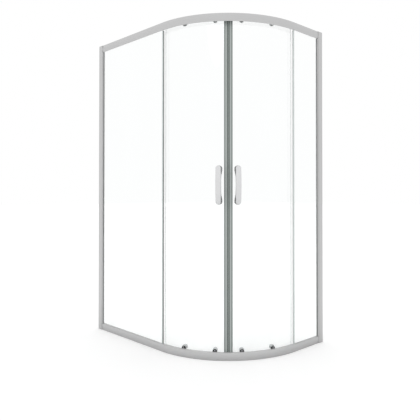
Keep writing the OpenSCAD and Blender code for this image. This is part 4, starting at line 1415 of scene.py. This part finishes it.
class SHOWER_OT_studio(bpy.types.Operator):
    """Floor, light all round, soft lamp and camera"""

    bl_idname = "shower.studio"
    bl_label = "Studio"

    def floor(self, studio):
        """Pale floor: the camera and the gloss see it white with the shadow on it.

        What it sends back as soft light is less in a band just outside the rails, so their low
        edges darken. The distance outside the outer face is that of (x, y) from the arc's centre,
        with x no less and y no more than there, minus the corner radius.
        """
        reach, level = 30.0, -0.0004  # the floor lies just under the rails
        corners = [(reach * x, reach * y, level) for x, y in ((-1, -1), (1, -1), (1, 1), (-1, 1))]
        mesh = bpy.data.meshes.new("studio_floor")
        mesh.from_pydata(corners, [], [(0, 1, 2, 3)])
        f = Finish("studio_floor")
        cx, cy = arc_centre()
        place = f.node("SeparateXYZ", {}, {0: f.place()}).outputs
        x, y = Number(f, place[0]) - cx, cy - Number(f, place[1])
        x, y = x.maths("MAXIMUM", x, 0.0), y.maths("MAXIMUM", y, 0.0)
        outside = x.maths("SQRT", x * x + y * y) - bpy.context.scene.shower_rails.corner
        within = outside.maths("LESS_THAN", outside, 0.0)
        away = outside.maths("MINIMUM", outside * (1 / studio.floor_reach), 1.0)
        far = away.maths("MAXIMUM", within, away * away)
        dull = f.node("BsdfDiffuse", {}, {
            "Color": f.mix(far, [studio.floor_near] * 3, [studio.floor_far] * 3)
        })
        white = f.node("BsdfDiffuse", {}, {"Color": rgba([studio.floor_white] * 3)})
        glow = f.node("Emission", {}, {"Strength": studio.floor_glow})
        pale = f.node("AddShader", {}, {0: white.outputs[0], 1: glow.outputs[0]})
        f.show(f.node("MixShader", {}, {0: f.seen(), 1: dull.outputs[0], 2: pale.outputs[0]}))
        mesh.materials.append(f.material)
        made = bpy.data.objects.new("studio_floor", mesh)
        bpy.context.scene.collection.objects.link(made)

    def world(self, studio):
        """Even light all round, seen as plain white."""
        scene = bpy.context.scene
        scene.world = bpy.data.worlds.new("studio")
        scene.world.use_nodes = True
        f = Finish("studio", scene.world.node_tree)
        light = f.node("Background", {}, {
            "Color": (1.0, 1.0, 1.0, 1.0), "Strength": studio.around
        })
        white = f.node("Background", {}, {"Color": (1.0, 1.0, 1.0, 1.0), "Strength": 1.0})
        f.show(f.node("MixShader", {}, {
            0: f.seen(), 1: light.outputs[0], 2: white.outputs[0]
        }), "OutputWorld")

    def execute(self, context):
        scene, studio = context.scene, context.scene.shower_studio
        self.floor(studio)
        self.world(studio)
        lamp = bpy.data.lights.new("soft_key", "SUN")
        lamp.energy = studio.key * PI
        lamp.angle = math.radians(40)
        key = bpy.data.objects.new("soft_key", lamp)
        shine = Vector((-0.45, 0.80, -0.62))
        key.rotation_euler = shine.to_track_quat("-Z", "Y").to_euler()
        key.visible_glossy = False
        scene.collection.objects.link(key)
        eye = bpy.data.cameras.new("photo_camera")
        eye.lens, eye.sensor_width = studio.lens, 36.0
        eye.shift_x, eye.shift_y = studio.shift
        eye.dof.use_dof = False
        eye.clip_end = 200.0
        camera = bpy.data.objects.new("photo_camera", eye)
        camera.location = studio.eye
        heading, level = (-0.7114, 0.7028), math.cos(studio.pitch)
        aim = Vector((heading[0] * level, heading[1] * level, math.sin(studio.pitch)))
        camera.rotation_euler = aim.to_track_quat("-Z", "Y").to_euler()
        scene.collection.objects.link(camera)
        scene.camera = camera
        scene.view_settings.view_transform = "Standard"
        return {"FINISHED"}


class SHOWER_PT_build(bpy.types.Panel):
    """Sizes, colours and builders of the shower enclosure"""

    bl_label = "Shower enclosure"
    bl_idname = "SHOWER_PT_build"
    bl_space_type = "VIEW_3D"
    bl_region_type = "UI"
    bl_category = "Shower"

    def draw(self, context):
        for group, name in GROUPS.items():
            box = self.layout.box()
            box.label(text=group.__doc__)
            values = getattr(context.scene, name)
            for key in group.__annotations__:
                box.prop(values, key, text=key.replace("_", " ").capitalize())
        for operator in OPERATORS:
            self.layout.operator(operator.bl_idname)


GROUPS = {
    ShowerRailSizes: "shower_rails",
    ShowerGlassSizes: "shower_glass",
    ShowerFittingSizes: "shower_fittings",
    ShowerColours: "shower_colours",
    ShowerStudio: "shower_studio",
}
OPERATORS = (
    SHOWER_OT_rails, SHOWER_OT_wall_channels, SHOWER_OT_jambs, SHOWER_OT_fixed_panes,
    SHOWER_OT_door_panes, SHOWER_OT_seals, SHOWER_OT_closing_profiles, SHOWER_OT_handles,
    SHOWER_OT_rollers, SHOWER_OT_wheels, SHOWER_OT_releases, SHOWER_OT_caps,
    SHOWER_OT_node_finishes, SHOWER_OT_studio,
)


def register():
    """Makes the classes known and puts the groups of sizes and colours on the scene."""
    for group, name in GROUPS.items():
        bpy.utils.register_class(group)
        setattr(bpy.types.Scene, name, bpy.props.PointerProperty(type=group))
    for operator in OPERATORS:
        bpy.utils.register_class(operator)
    bpy.utils.register_class(SHOWER_PT_build)


def unregister():
    """Takes all of it away again, last made first."""
    bpy.utils.unregister_class(SHOWER_PT_build)
    for operator in reversed(OPERATORS):
        bpy.utils.unregister_class(operator)
    for group, name in GROUPS.items():
        delattr(bpy.types.Scene, name)
        bpy.utils.unregister_class(group)


def main():
    register()
    for operator in OPERATORS:
        group, name = operator.bl_idname.split(".")
        getattr(getattr(bpy.ops, group), name)()


if __name__ == "__main__":
    main()
